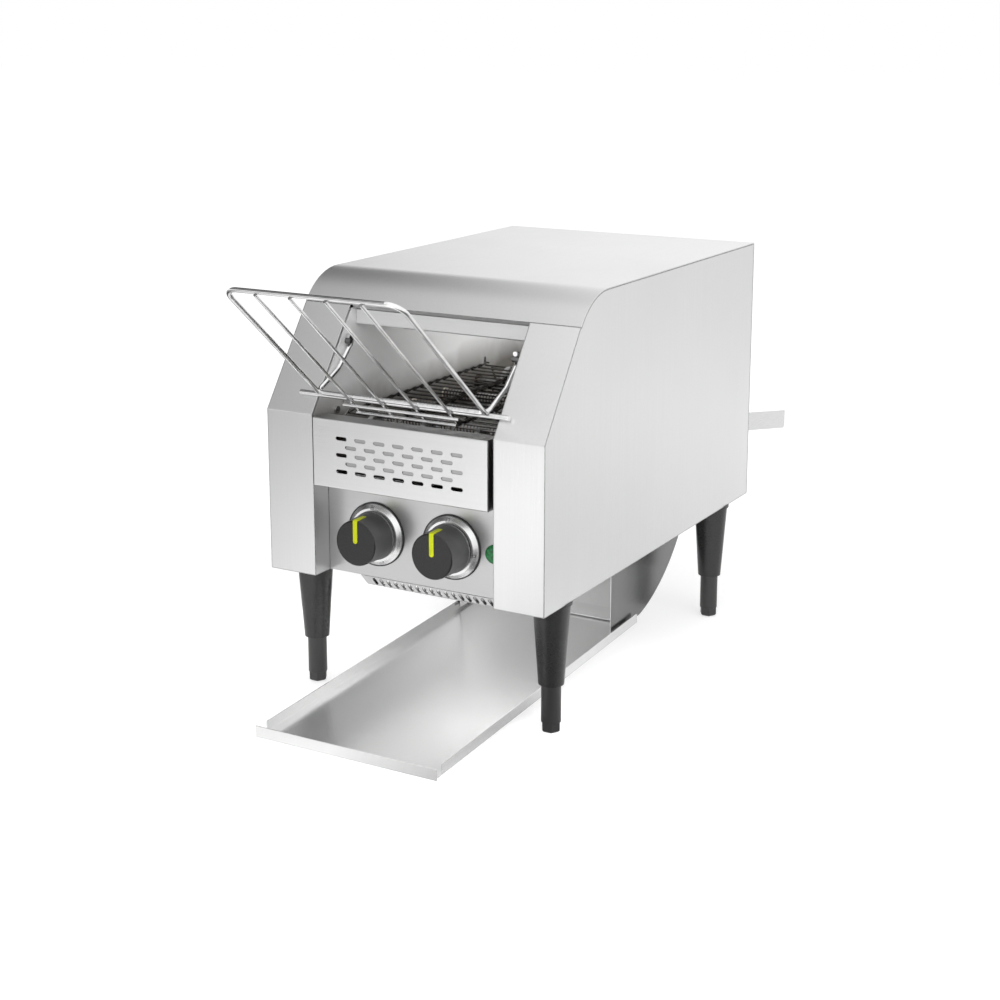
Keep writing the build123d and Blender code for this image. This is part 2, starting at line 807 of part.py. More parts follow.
def chain_rollers():
    """Roller centres: on both sprockets outwards from the line of centres, and on both runs."""
    lean = asin((axle_pitch_radius - motor_pitch_radius)
                / sqrt((drive_place[0] - motor_place[0]) ** 2 + (drive_place[1] - motor_place[1]) ** 2))
    axle_half = int((pi / 2 + lean) / (2 * pi / axle_teeth))
    motor_half = int((pi / 2 - lean) / (2 * pi / motor_teeth))
    rollers = [polar(drive_place, axle_pitch_radius, chain_line + step * 2 * pi / axle_teeth)
               for step in range(-axle_half, axle_half + 1)]
    rollers += [polar(motor_place, motor_pitch_radius, chain_line + pi + step * 2 * pi / motor_teeth)
                for step in range(-motor_half, motor_half + 1)]
    for hand in (-1, 1):
        start = Vector(*polar(drive_place, axle_pitch_radius,
                              chain_line + hand * axle_half * 2 * pi / axle_teeth))
        end = Vector(*polar(motor_place, motor_pitch_radius,
                            chain_line + pi - hand * motor_half * 2 * pi / motor_teeth))
        gaps = round((end - start).length / chain_pitch)
        rollers += [tuple(start + (end - start) * (step / gaps))[:2] for step in range(1, gaps)]
    return rollers


def chain_loop(x, grow):
    """Closed outline round both sprockets, grown from the chain's centre line."""
    with BuildSketch(side_plane(x)) as loop:
        with Locations(drive_place):
            Circle(axle_pitch_radius + grow)
        with Locations(motor_place):
            Circle(motor_pitch_radius + grow)
        make_hull()
    return loop.sketch


with BuildPart() as drive_chain:
    # Link plates on both sides of the rollers
    for plate_x in (chain_x - chain_inner_width / 2 - chain_plate, chain_x + chain_inner_width / 2):
        extrude(chain_loop(plate_x, chain_plate_height / 2), amount=chain_plate)
    for plate_x in (chain_x - chain_inner_width / 2 - chain_plate, chain_x + chain_inner_width / 2):
        extrude(chain_loop(plate_x, -chain_plate_height / 2), amount=chain_plate, mode=Mode.SUBTRACT)
    with BuildSketch(side_plane(chain_x)):
        with Locations(*chain_rollers()):
            Circle(roller_radius)
    extrude(amount=chain_inner_width / 2, both=True)

save(drive_chain.part, "drive_chain")


def chain_sprocket(name, place, pitch_radius, teeth, bore, first_angle):
    """Chain sprocket with round roller gaps, the first of them at the given angle."""
    with BuildPart() as sprocket:
        with BuildSketch(side_plane(chain_x)) as blank:
            with Locations(place):
                Circle(pitch_radius + chain_tooth_rise)
                Circle(bore, mode=Mode.SUBTRACT)
                with PolarLocations(pitch_radius, teeth, start_angle=degrees(first_angle)):
                    Circle(roller_radius + notch_gap, mode=Mode.SUBTRACT)
                with PolarLocations(pitch_radius + chain_tooth_rise, teeth,
                                    start_angle=degrees(first_angle)):
                    Rectangle(2 * chain_tooth_rise, 2 * (roller_radius + notch_gap),
                              mode=Mode.SUBTRACT)
        extrude(blank.sketch, amount=chain_tooth_width / 2, both=True)
        with BuildSketch(side_plane(chain_x - chain_tooth_width / 2)) as hub:
            with Locations(place):
                Circle(bore + 3)
                Circle(bore, mode=Mode.SUBTRACT)
        extrude(hub.sketch, amount=chain_tooth_width / 2 + 6)
    save(sprocket.part, name)


chain_sprocket("shaft_sprocket", drive_place, axle_pitch_radius, axle_teeth,
               axle_diameter / 2, chain_line)
chain_sprocket("motor_sprocket", motor_place, motor_pitch_radius, motor_teeth,
               motor_shaft_diameter / 2, chain_line + pi)

gearbox_gap = 14.0
gearbox_right = chain_x - gearbox_gap
gearbox_left = gearbox_right - gearbox_length
bracket_thickness = 2.0
bracket_x = gearbox_right + seat_gap
boss_radius = 10.0
boss_length = 6.0
motor_top = motor_height + motor_size / 2
bracket_foot = pan_height + sheet + seat_gap
bracket_flange = 16.0
bracket_width = motor_size + 8.0
gearbox_corner = 6.0
shaft_depth = 4.0

with BuildPart() as gear_motor:
    with BuildSketch(side_plane(gearbox_left)):
        with Locations(motor_place):
            RectangleRounded(motor_size, motor_size, gearbox_corner)
    extrude(amount=gearbox_length)
    with BuildSketch(side_plane(gearbox_left)):
        with Locations(motor_place):
            Circle(motor_size / 2 - 1)
    extrude(amount=-motor_length)
    with BuildSketch(side_plane(gearbox_right)):
        with Locations(motor_place):
            Circle(boss_radius)
    extrude(amount=boss_length)
    with BuildSketch(side_plane(gearbox_left)):
        with Locations(motor_place):
            Circle(motor_shaft_diameter / 2 + running_gap)
    extrude(amount=gearbox_length + boss_length, mode=Mode.SUBTRACT)

save(gear_motor.part, "gear_motor")

with BuildPart() as motor_shaft:
    with BuildSketch(side_plane(gearbox_left + shaft_depth)):
        with Locations(motor_place):
            Circle(motor_shaft_diameter / 2)
    extrude(amount=drive_end - gearbox_left - shaft_depth)

save(motor_shaft.part, "motor_shaft")

with BuildPart() as motor_bracket:
    with BuildSketch(side_plane(bracket_x)):
        with Locations(at(motor_depth, (motor_top + bracket_foot) / 2)):
            Rectangle(bracket_width, motor_top - bracket_foot)
        with Locations(motor_place):
            Circle(boss_radius + seat_gap, mode=Mode.SUBTRACT)
    extrude(amount=bracket_thickness)
    with BuildSketch(level(bracket_foot)):
        with Locations((bracket_x + bracket_flange / 2, front_y + motor_depth)):
            Rectangle(bracket_flange, bracket_width)
    extrude(amount=bracket_thickness)

save(motor_bracket.part, "motor_bracket")

# ---------------------------------------------------------------- chute and tray

tray_tilt = radians(tray_slope)


def tray_height(depth, lift=0.0):
    """Height of the tray's underside at a depth, raised by a lift."""
    return (depth - tray_front_depth) * tan(tray_tilt) + lift


chute_end_height = tray_height(chute_end_depth, sheet + 1.2)
chute_shelf = 17.0
plate_reach = 40.0
plate_toe = (chute_end_depth - plate_reach, 18.6)
tab_x = 60.0
tab_width = 20.0
tab_depth = tray_back_depth + 3.0
tab_reach = 15.0
tab_top = tray_height(tab_depth - tab_reach, -seat_gap)


def on_chute(depth):
    """Point of a side plane on the chute's outer curve."""
    return at(depth, chute_centre[1] - sqrt(chute_radius ** 2 - (depth - chute_centre[0]) ** 2))


def chute_underside(depth):
    """Height of the chute's lower face at a depth, on its curve or on its flat front end."""
    if depth >= chute_bend:
        return on_chute(depth)[1]
    rise = on_chute(chute_bend)[1] - chute_end_height
    return chute_end_height + rise * (depth - chute_end_depth) / (chute_bend - chute_end_depth)


with BuildPart() as rear_chute:
    # Sheet that falls behind the belt and curves forward onto the tray
    with BuildSketch(side_plane(-chute_half_width)):
        with BuildLine():
            Polyline(at(chute_back_depth + chute_shelf, chute_top_height),
                     at(chute_back_depth, chute_top_height), on_chute(chute_back_depth))
            ThreePointArc(on_chute(chute_back_depth), on_chute(chute_middle), on_chute(chute_bend))
            Line(on_chute(chute_bend), at(chute_end_depth, chute_end_height))
            offset(amount=sheet, side=Side.RIGHT)
        make_face()
    extrude(amount=2 * chute_half_width)
    # Side plates, wider where they pass up through the base pan
    for side in (-1, 1):
        with BuildSketch(side_plane(side * (chute_half_width - sheet / 2))):
            with BuildLine():
                Polyline(on_chute(chute_bend), at(*plate_toe),
                         at(plate_toe[0], pan_height - seat_gap),
                         at(drop_front + seat_gap, pan_height - seat_gap),
                         at(drop_front + seat_gap, chute_top_height),
                         at(chute_back_depth, chute_top_height), on_chute(chute_back_depth))
                ThreePointArc(on_chute(chute_back_depth), on_chute(chute_middle), on_chute(chute_bend))
            make_face()
        extrude(amount=sheet / 2, both=True)
    # Tabs that carry the back of the tray
    for side in (-1, 1):
        extrude(sheet_profile(side * tab_x,
                              [at(tab_depth, chute_underside(tab_depth) + sheet / 2),
                               at(tab_depth, tab_top - sheet),
                               at(tab_depth - tab_reach, tab_top - sheet)]),
                amount=tab_width / 2, both=True)

save(rear_chute.part, "rear_chute")

tray_origin = (0, front_y + tray_front_depth, 0)
tray_plane = Plane(origin=tray_origin, x_dir=(1, 0, 0), z_dir=(0, -sin(tray_tilt), cos(tray_tilt)))
tray_length = (tray_back_depth - tray_front_depth) / cos(tray_tilt)
lip_overhang = 2.0
lip_half_width = tray_half_width + lip_overhang
wall_corner = 3.0

with BuildPart() as exit_tray:
    with BuildSketch(tray_plane):
        with Locations((0, tray_length / 2)):
            Rectangle(2 * tray_half_width, tray_length)
        with Locations((0, sheet / 2)):
            Rectangle(2 * lip_half_width, sheet)
    extrude(amount=sheet)
    # Side walls, with a notch behind the lip
    with BuildSketch(tray_plane):
        with Locations(*[(side * (tray_half_width - sheet / 2), (tray_length + tray_notch) / 2)
                         for side in (-1, 1)]):
            Rectangle(sheet, tray_length - tray_notch)
    extrude(amount=tray_wall)
    fillet(exit_tray.edges().filter_by(Axis.X).group_by(SortBy.LENGTH)[0].group_by(Axis.Z)[-1],
           radius=wall_corner)
    # Front lip, wider than the tray
    with BuildSketch(tray_plane):
        with Locations((0, sheet / 2)):
            Rectangle(2 * lip_half_width, sheet)
    extrude(amount=tray_lip)

save(exit_tray.part, "exit_tray")

# ---------------------------------------------------------------- feed rack

rack_plane = Plane(origin=(rack_shift, front_y + bar_depth, bar_height), x_dir=(1, 0, 0),
                   z_dir=(0, -sin(rack_pitch), -cos(rack_pitch)))
fine_drop = (rack_wire + rack_fine_wire) / 2 - weld_sink
cross_drop = fine_drop + rack_fine_wire - weld_sink
cross_bars = ((6.1, 60.0), (18.6, 52.0))
hook_radius = (peg_diameter + rack_wire) / 2 + seat_gap
arm_bend = (38.5, slope_foot + 35.5)
arm_corner = 7.0


def rod_between(start, end, diameter):
    """Straight round wire between two points."""
    with BuildSketch(Plane(origin=start, z_dir=Vector(*end) - Vector(*start))) as section:
        Circle(diameter / 2)
    extrude(section.sketch, amount=(Vector(*end) - Vector(*start)).length)


def bent_wire(route, diameter):
    """Round wire swept along a finished route."""
    with BuildSketch(Plane(origin=route @ 0, z_dir=route % 0)) as section:
        Circle(diameter / 2)
    sweep(section.sketch, path=route)


with BuildLine(mode=Mode.PRIVATE) as frame_route:
    FilletPolyline(*[rack_plane.from_local_coords(point) for point in
                     [(-rack_half_width, 0, 0), (-rack_half_width, rack_length, 0),
                      (rack_half_width, rack_length, 0), (rack_half_width, 0, 0)]],
                   radius=rack_corner)

peg_place = at(peg_depth, peg_height)


def on_hook(angle):
    """Point of a side plane on the hook's arc round its peg, at an angle above the back."""
    return (peg_place[0] + hook_radius * cos(radians(angle)),
            peg_place[1] + hook_radius * sin(radians(angle)))


hook_start = on_hook(-45)
hook_middle = on_hook(25)
hook_end = on_hook(100)

arm_left = rack_shift - arm_x
arm_right = rack_shift + arm_x
bar_place = at(bar_depth, bar_height)

with BuildLine(mode=Mode.PRIVATE) as arm_route:
    ThreePointArc((arm_left, *hook_end), (arm_left, *hook_middle), (arm_left, *hook_start))
    FilletPolyline((arm_left, *hook_start), (arm_left, *at(*arm_bend)), (arm_left, *bar_place),
                   (arm_right, *bar_place), (arm_right, *at(*arm_bend)), (arm_right, *hook_start),
                   radius=arm_corner)
    ThreePointArc((arm_right, *hook_start), (arm_right, *hook_middle), (arm_right, *hook_end))

with BuildPart() as feed_rack:
    bent_wire(frame_route.wire(), rack_wire)
    bent_wire(arm_route.wire(), rack_wire)
    # Rod whose ends rest on the slanted flanges
    rod_between((rack_shift - rack_rod_length / 2, *at(rod_depth, rod_height)),
                (rack_shift + rack_rod_length / 2, *at(rod_depth, rod_height)), rack_rod)
    # Fine wires from the top bar down to the belt
    for wire in range(rack_fine_count):
        x = (wire - (rack_fine_count - 1) / 2) * rack_fine_spacing
        rod_between(rack_plane.from_local_coords((x, -rack_tail, fine_drop)),
                    rack_plane.from_local_coords((x, rack_length + 1, fine_drop)), rack_fine_wire)
    # Cross bars at their lower ends
    for below, reach in cross_bars:
        rod_between(rack_plane.from_local_coords((-reach, -below, cross_drop)),
                    rack_plane.from_local_coords((reach, -below, cross_drop)), rack_fine_wire)

save(feed_rack.part, "feed_rack")

peg_past_arm = rack_wire / 2 + 0.8
peg_outer = chamber_half_width + sheet + 4
peg_collar = chamber_half_width + sheet

with BuildPart() as rack_pegs:
    for start, end in ((-peg_outer, arm_left + peg_past_arm), (arm_right - peg_past_arm, peg_outer)):
        with BuildSketch(side_plane(start)):
            with Locations(peg_place):
                Circle(peg_diameter / 2 - running_gap)
        extrude(amount=end - start)
    for collar in (-peg_collar - 2, peg_collar):
        with BuildSketch(side_plane(collar)):
            with Locations(peg_place):
                Circle(peg_diameter)
        extrude(amount=2)

save(rack_pegs.part, "rack_pegs")

# ---------------------------------------------------------------- controls

dial_back = panel_depth
dial_front = dial_back - gasket_thickness - dial_thickness
knob_back = dial_front - seat_gap
knob_face = knob_back - knob_length
knob_radius = knob_diameter / 2
spindle_front = knob_face + 10
control_front = panel_depth + sheet
bush_front = dial_front + 1
collar_length = 1.4


def control_set(name, x, box_shape):
    """Gasket, dial, body, spindle, knob and pointer of one control."""
    with BuildPart() as dial:
        with BuildSketch(front_plane(dial_back - gasket_thickness)) as foot:
            with Locations((x, knob_height)):
                Circle(dial_diameter / 2)
        with BuildSketch(front_plane(dial_front)) as crest:
            with Locations((x, knob_height)):
                Circle(dial_top_diameter / 2)
        loft([foot.sketch.face(), crest.sketch.face()])
        with BuildSketch(front_plane(dial_front)) as well:
            with Locations((x, knob_height)):
                Circle(bush_diameter / 2 + seat_gap)
        extrude(well.sketch, amount=-dial_thickness, mode=Mode.SUBTRACT)
    save(dial.part, f"{name}_dial")

    with BuildPart() as body:
        with BuildSketch(front_plane(control_front)) as box:
            with Locations((x, knob_height)):
                if box_shape == "square":
                    RectangleRounded(switch_body_size, switch_body_size, 3)
                else:
                    Circle(control_body_diameter / 2)
        extrude(box.sketch, amount=-control_body_length)
        with BuildSketch(front_plane(bush_front)) as bush:
            with Locations((x, knob_height)):
                Circle(bush_diameter / 2)
        extrude(bush.sketch, amount=-(control_front - bush_front))
        with BuildSketch(front_plane(bush_front)) as bore:
            with Locations((x, knob_height)):
                Circle(spindle_diameter / 2 + running_gap)
        extrude(bore.sketch, amount=-(control_front - bush_front + 8), mode=Mode.SUBTRACT)
    save(body.part, f"{name}_control")

    with BuildPart() as spindle:
        with BuildSketch(front_plane(spindle_front)) as end:
            with Locations((x, knob_height)):
                Circle(spindle_diameter / 2)
        extrude(end.sketch, amount=-(control_front + 7 - spindle_front))
    save(spindle.part, f"{name}_spindle")

    groove = pointer_thickness
    with BuildPart() as knob:
        with BuildSketch(front_plane(knob_back)) as skirt:
            with Locations((x, knob_height)):
                Circle(knob_radius)
        with BuildSketch(front_plane(knob_face)) as face:
            with Locations((x, knob_height)):
                Circle(knob_radius - knob_taper)
        loft([skirt.sketch.face(), face.sketch.face()])
        fillet(knob.edges().group_by(Axis.Y)[0], radius=1.6)
        with BuildSketch(front_plane(knob_back)) as collar:
            with Locations((x, knob_height)):
                Circle(knob_radius + knob_collar)
        extrude(collar.sketch, amount=collar_length)
        fillet(knob.edges().group_by(Axis.Y)[-1], radius=0.4)
        with BuildSketch(front_plane(knob_back)) as bore:
            with Locations((x, knob_height)):
                Circle(spindle_diameter / 2 + running_gap)
        extrude(bore.sketch, amount=knob_back - spindle_front + seat_gap, mode=Mode.SUBTRACT)
        add(pointer_shape(x, pointer_width / 2 + running_gap, groove, 1.0), mode=Mode.SUBTRACT)
    save(knob.part, f"{name}_knob")

    with BuildPart() as pointer:
        add(pointer_shape(x, pointer_width / 2, groove - running_gap, 0.4))
    save(pointer.part, f"{name}_pointer")


def pointer_shape(x, half_width, sunk, proud):
    """Round-ended strip from the middle of the knob's face to its rim and back along its side."""
    tip = knob_face - proud
    crest = knob_height + knob_radius - knob_taper * 0.6
    with BuildPart(mode=Mode.PRIVATE) as strip:
        with BuildSketch(side_plane(x)) as section:
            with BuildLine():
                FilletPolyline(at(tip, knob_height), at(tip, crest + proud),
                               at(knob_face + pointer_side, crest + proud), radius=1.8 + proud)
                offset(amount=sunk + proud, side=Side.RIGHT)
            make_face()
        extrude(section.sketch, amount=half_width, both=True)
        fillet(strip.edges().filter_by(Axis.Y).group_by(Axis.Z)[0], radius=0.9 * half_width)
    return strip.part


control_set("speed", speed_x, "round")
control_set("heat", heat_x, "square")

with BuildPart() as dial_gaskets:
    with BuildSketch(front_plane(dial_back)):
        with Locations(*knob_places):
            Circle(dial_diameter / 2 + 1)
            Circle(bush_diameter / 2 + seat_gap, mode=Mode.SUBTRACT)
    extrude(amount=gasket_thickness)

save(dial_gaskets.part, "dial_gaskets")

with BuildPart() as pilot_lens:
    with BuildSketch(front_plane(panel_depth)):
        with Locations((lamp_x, knob_height)):
            Circle(lens_diameter / 2)
    extrude(amount=lens_proud)
    fillet(pilot_lens.edges().group_by(Axis.Y)[0], radius=2.6)

save(pilot_lens.part, "pilot_lens")

with BuildPart() as pilot_body:
    with BuildSketch(front_plane(panel_depth)):
        with Locations((lamp_x, knob_height)):
            Circle(lamp_bore / 2 - seat_gap)
    extrude(amount=-22)
    with BuildSketch(front_plane(control_front)):
        with Locations((lamp_x, knob_height)):
            Circle(lamp_bore / 2 + 2)
    extrude(amount=-3)

save(pilot_body.part, "pilot_body")

# ---------------------------------------------------------------- legs and feet

leg_flange = 2.5
leg_flange_diameter = leg_top_diameter + 3
stud_length = 11.0
foot_bore_depth = 50.0
foot_bore_top = leg_bottom_height + foot_bore_depth
foot_top = foot_bore_top - foot_travel - 2
hex_height = 9.0
foot_chamfer = 1.5

for end, depth in (("front", front_leg_depth), ("rear", rear_leg_depth)):
    for hand, side in (("left", -1), ("right", 1)):
        axis = (side * leg_x, front_y + depth)
        with BuildPart() as leg:
            with BuildSketch(level(leg_bottom_height)):
                with Locations(axis):
                    Circle(leg_bottom_diameter / 2)
            with BuildSketch(level(ground_clearance - leg_flange)):
                with Locations(axis):
                    Circle(leg_top_diameter / 2)
            loft()
            with BuildSketch(level(ground_clearance - leg_flange)):
                with Locations(axis):
                    Circle(leg_flange_diameter / 2)
            extrude(amount=leg_flange)
            with BuildSketch(level(ground_clearance)):
                with Locations(axis):
                    Circle(stud_diameter / 2)
            extrude(amount=stud_length)
            with BuildSketch(level(leg_bottom_height)):
                with Locations(axis):
                    Circle(foot_diameter / 2 + 2 * running_gap)
            extrude(amount=foot_bore_top - leg_bottom_height, mode=Mode.SUBTRACT)
        save(leg.part, f"leg_{end}_{hand}")

        with BuildPart() as foot:
            with BuildSketch(level(hex_height)):
                with Locations(axis):
                    Circle(foot_diameter / 2)
            extrude(amount=foot_top - hex_height)
            with BuildSketch(level(0)):
                with Locations(axis):
                    RegularPolygon(foot_diameter / 2, 6)
            extrude(amount=hex_height)
            chamfer(foot.edges().group_by(Axis.Z)[0], length=foot_chamfer)
        save(foot.part, f"foot_{end}_{hand}")

nut_size = 13.0
nut_height = 6.5

with BuildPart() as leg_nuts:
    with BuildSketch(level(pan_height + sheet)):
        with Locations(*leg_places):
            RegularPolygon(nut_size / 2, 6, major_radius=False)
            Circle(stud_diameter / 2 + running_gap, mode=Mode.SUBTRACT)
    extrude(amount=nut_height)

save(leg_nuts.part, "leg_nuts")

# ---------------------------------------------------------------- back

spacer_foot = 26.0
spacer_fall = spacer_length * tan(radians(spacer_droop))
spacer_nose = 3.0

with BuildPart() as right_spacer:
    # Arm that reaches back towards the wall
    with BuildSketch(side_plane(half_body - sheet)):
        with BuildLine():
            Polyline(at(body_depth, spacer_root_height), at(body_depth + spacer_length,
                                                            spacer_root_height - spacer_fall),
                     at(body_depth + spacer_length, spacer_root_height - spacer_fall - spacer_height
                        + spacer_nose),
                     at(body_depth + spacer_length - spacer_nose,
                        spacer_root_height - spacer_fall - spacer_height),
                     at(body_depth, spacer_root_height - spacer_height),
                     at(body_depth, spacer_root_height))
        make_face()
    extrude(amount=sheet)
    # Foot against the back panel
    with BuildSketch(front_plane(body_depth)):
        with Locations((half_body - spacer_foot / 2, spacer_root_height - spacer_height / 2)):
            Rectangle(spacer_foot, spacer_height)
    extrude(amount=-sheet)

save(right_spacer.part, "rear_spacer_right")
mirrored(right_spacer.part, "rear_spacer_left")

gland_nut = 27.0
gland_nut_thickness = 6.0
gland_bore = 9.0
gland_inside = 10.0
gland_outside = 12.0
gland_length = gland_inside + sheet + gland_outside
gland_start = body_depth - sheet - gland_inside

with BuildPart() as cord_gland:
    with BuildSketch(front_plane(gland_start)):
        with Locations((gland_x, gland_height)):
            Circle(gland_diameter / 2)
    extrude(amount=-gland_length)
    with BuildSketch(front_plane(body_depth)):
        with Locations((gland_x, gland_height)):
            RegularPolygon(gland_nut / 2, 6)
    extrude(amount=-gland_nut_thickness)
    with BuildSketch(front_plane(gland_start)):
        with Locations((gland_x, gland_height)):
            Circle(gland_bore / 2)
    extrude(amount=-gland_length, mode=Mode.SUBTRACT)

save(cord_gland.part, "cord_gland")


def screw(plane):
    """Round-headed screw whose head sits on the given plane."""
    with BuildSketch(plane) as head:
        Circle(screw_head / 2)
    extrude(head.sketch, amount=screw_head_height)
    with BuildSketch(plane) as shank:
        Circle(screw_shank / 2)
    extrude(shank.sketch, amount=-screw_length)


with BuildPart() as case_screws:
    for side in (-1, 1):
        for row in case_screw_rows:
            screw(Plane(origin=(side * case_screw_x, front_y + body_depth, row),
                        x_dir=(1, 0, 0), z_dir=(0, 1, 0)))

        # Screw in the side of the chamber
        screw(Plane(origin=(side * chamber_half_width, *at(*wall_screw)), x_dir=(0, 1, 0),
                    z_dir=(-side, 0, 0)))

save(case_screws.part, "case_screws")
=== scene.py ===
import math

import bmesh
import bpy
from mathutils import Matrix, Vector


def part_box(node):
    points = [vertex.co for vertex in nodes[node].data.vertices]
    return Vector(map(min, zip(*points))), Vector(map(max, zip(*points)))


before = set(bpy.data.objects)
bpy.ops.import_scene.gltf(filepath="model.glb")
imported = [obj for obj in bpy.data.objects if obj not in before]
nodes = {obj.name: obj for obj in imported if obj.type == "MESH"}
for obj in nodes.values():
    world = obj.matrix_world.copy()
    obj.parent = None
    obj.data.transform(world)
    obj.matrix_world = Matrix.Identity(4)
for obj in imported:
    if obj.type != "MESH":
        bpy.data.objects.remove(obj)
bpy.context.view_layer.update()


# ---------------------------------------------------------------- colours

def linear(red, green, blue):
    """A colour written as 0-255 screen values, as Blender wants it."""
    def channel(value):
        share = value / 255
        return share / 12.92 if share <= 0.04045 else ((share + 0.055) / 1.055) ** 2.4
    return (channel(red), channel(green), channel(blue), 1.0)


def grey(value):
    """A neutral colour written as one 0-255 screen value."""
    return linear(value, value, value)


def toned(colour, share):
    """A colour made darker or lighter by a share of itself."""
    return tuple(min(1.0, channel * share) for channel in colour[:3]) + (1.0,)


BLACK = grey(0)
WHITE = grey(255)


# ---------------------------------------------------------------- node helpers
# A term is a plain value or another node's output.

def set_inputs(tree, node, terms):
    """Sets or links a node's inputs, given as name or number: term."""
    for key, term in terms.items():
        if isinstance(term, bpy.types.NodeSocket):
            tree.links.new(term, node.inputs[key])
        elif term is not None:
            node.inputs[key].default_value = term


def add(tree, kind, terms=None, **settings):
    """A new shader node with its settings and its inputs."""
    made = tree.nodes.new(kind)
    for key, value in settings.items():
        setattr(made, key, value)
    set_inputs(tree, made, terms or {})
    return made


def math_node(tree, operation, first, second=None):
    """One step of arithmetic on one or two terms."""
    return add(tree, "ShaderNodeMath", {0: first, 1: second}, operation=operation).outputs[0]


def vector_node(tree, operation, first, second=None):
    """One step of vector arithmetic on one or two terms."""
    made = add(tree, "ShaderNodeVectorMath", {0: first, 1: second}, operation=operation)
    return made.outputs["Value" if operation in ("DOT_PRODUCT", "LENGTH") else "Vector"]


def spread(tree, value, low, high, start=0.0, end=1.0):
    """Carries a value that runs from start to end onto the range low to high."""
    made = add(tree, "ShaderNodeMapRange", {"Value": value, "From Min": start, "From Max": end,
                                            "To Min": low, "To Max": high})
    return made.outputs["Result"]


def ramp(tree, value, start, end):
    """0 where a value is at start or below, 1 where it is at end or above."""
    return spread(tree, value, 0.0, 1.0, start, end)


def vary(tree, noise, low, high):
    """Carries a noise, most of which lies between 0.3 and 0.7, onto the range low to high."""
    return spread(tree, noise, low, high, 0.3, 0.7)


def blend_colours(tree, share, first, second):
    """Mixes two colours: the first at a share of 0, the second at 1."""
    return add(tree, "ShaderNodeMix", {0: share, 6: first, 7: second}, data_type="RGBA").outputs[2]


def own_place(tree):
    """Where each point of a surface lies, in the frame's metres and with the object at rest."""
    return add(tree, "ShaderNodeTexCoord").outputs["Object"]


def axes(tree, vector):
    """The X, Y and Z of a vector."""
    return add(tree, "ShaderNodeSeparateXYZ", {0: vector}).outputs


def new_group(name, inputs, outputs):
    """An empty shader group. Inputs are name: (socket type, default)."""
    group = bpy.data.node_groups.new(name, "ShaderNodeTree")
    for label, (kind, default) in inputs.items():
        socket = group.interface.new_socket(name=label, in_out="INPUT", socket_type=kind)
        socket.default_value = default
    for label, kind in outputs.items():
        group.interface.new_socket(name=label, in_out="OUTPUT", socket_type=kind)
    entry = group.nodes.new("NodeGroupInput")
    result = group.nodes.new("NodeGroupOutput")
    return group, entry.outputs, result


def place(tree, group, **terms):
    """Puts a group into a material with that material's own values."""
    return add(tree, "ShaderNodeGroup", terms, node_tree=group).outputs


FLOAT = "NodeSocketFloat"
VECTOR = "NodeSocketVector"


# ---------------------------------------------------------------- shared effects

# How often the streaks change, as a share of how often the fine lines do
STREAK_SHARE = 0.17
RINGS_PER_METRE = 5200.0


def make_brushed_grain():
    """Lines drawn in sheet steel: fine ones as Grain, and broader ones as Streak.

    Stretch is how often the fine lines change along each axis.
    """
    group, entry, result = new_group(
        "Brushed grain",
        {"Stretch": (VECTOR, (1.0, 1.0, 1.0))},
        {"Grain": FLOAT, "Streak": FLOAT})
    fine = vector_node(group, "MULTIPLY", own_place(group), entry["Stretch"])
    broad = vector_node(group, "MULTIPLY", fine, (STREAK_SHARE, STREAK_SHARE, STREAK_SHARE))
    for lines, label, detail in ((fine, "Grain", 3.0), (broad, "Streak", 2.0)):
        noise = add(group, "ShaderNodeTexNoise",
                    {"Vector": lines, "Scale": 1.0, "Detail": detail, "Roughness": 0.6})
        set_inputs(group, result, {label: noise.outputs["Fac"]})
    return group


def make_handling_marks():
    """Soft smudges, 0 where clean and 1 where marked. A higher Scale makes them smaller."""
    group, entry, result = new_group(
        "Handling marks",
        {"Scale": (FLOAT, 9.0), "Amount": (FLOAT, 1.0)},
        {"Mark": FLOAT})
    noise = add(group, "ShaderNodeTexNoise",
                {"Vector": own_place(group), "Scale": entry["Scale"], "Detail": 3.0,
                 "Roughness": 0.55, "Distortion": 0.4})
    mark = ramp(group, noise.outputs["Fac"], 0.42, 0.68)
    set_inputs(group, result, {"Mark": math_node(group, "MULTIPLY", mark, entry["Amount"])})
    return group


def make_rounded_edge():
    """Finds edges: 1 on a sharp edge, 0 on flat faces, and a normal that is round there."""
    group, entry, result = new_group(
        "Rounded edge",
        {"Radius": (FLOAT, 0.0006)},
        {"Edge": FLOAT, "Normal": VECTOR})
    rounded = add(group, "ShaderNodeBevel", {"Radius": entry["Radius"]}, samples=4).outputs["Normal"]
    flat = add(group, "ShaderNodeNewGeometry").outputs["Normal"]
    agreement = vector_node(group, "DOT_PRODUCT", rounded, flat)
    set_inputs(group, result, {"Edge": spread(group, agreement, 1.0, 0.0, 0.80, 0.995),
                               "Normal": rounded})
    return group


def make_fine_grain():
    """Even fine texture of moulded plastic, cast or sintered pieces."""
    group, entry, result = new_group(
        "Fine grain",
        {"Scale": (FLOAT, 2500.0)},
        {"Grain": FLOAT})
    noise = add(group, "ShaderNodeTexNoise",
                {"Vector": own_place(group), "Scale": entry["Scale"], "Detail": 4.0, "Roughness": 0.65})
    set_inputs(group, result, {"Grain": noise.outputs["Fac"]})
    return group


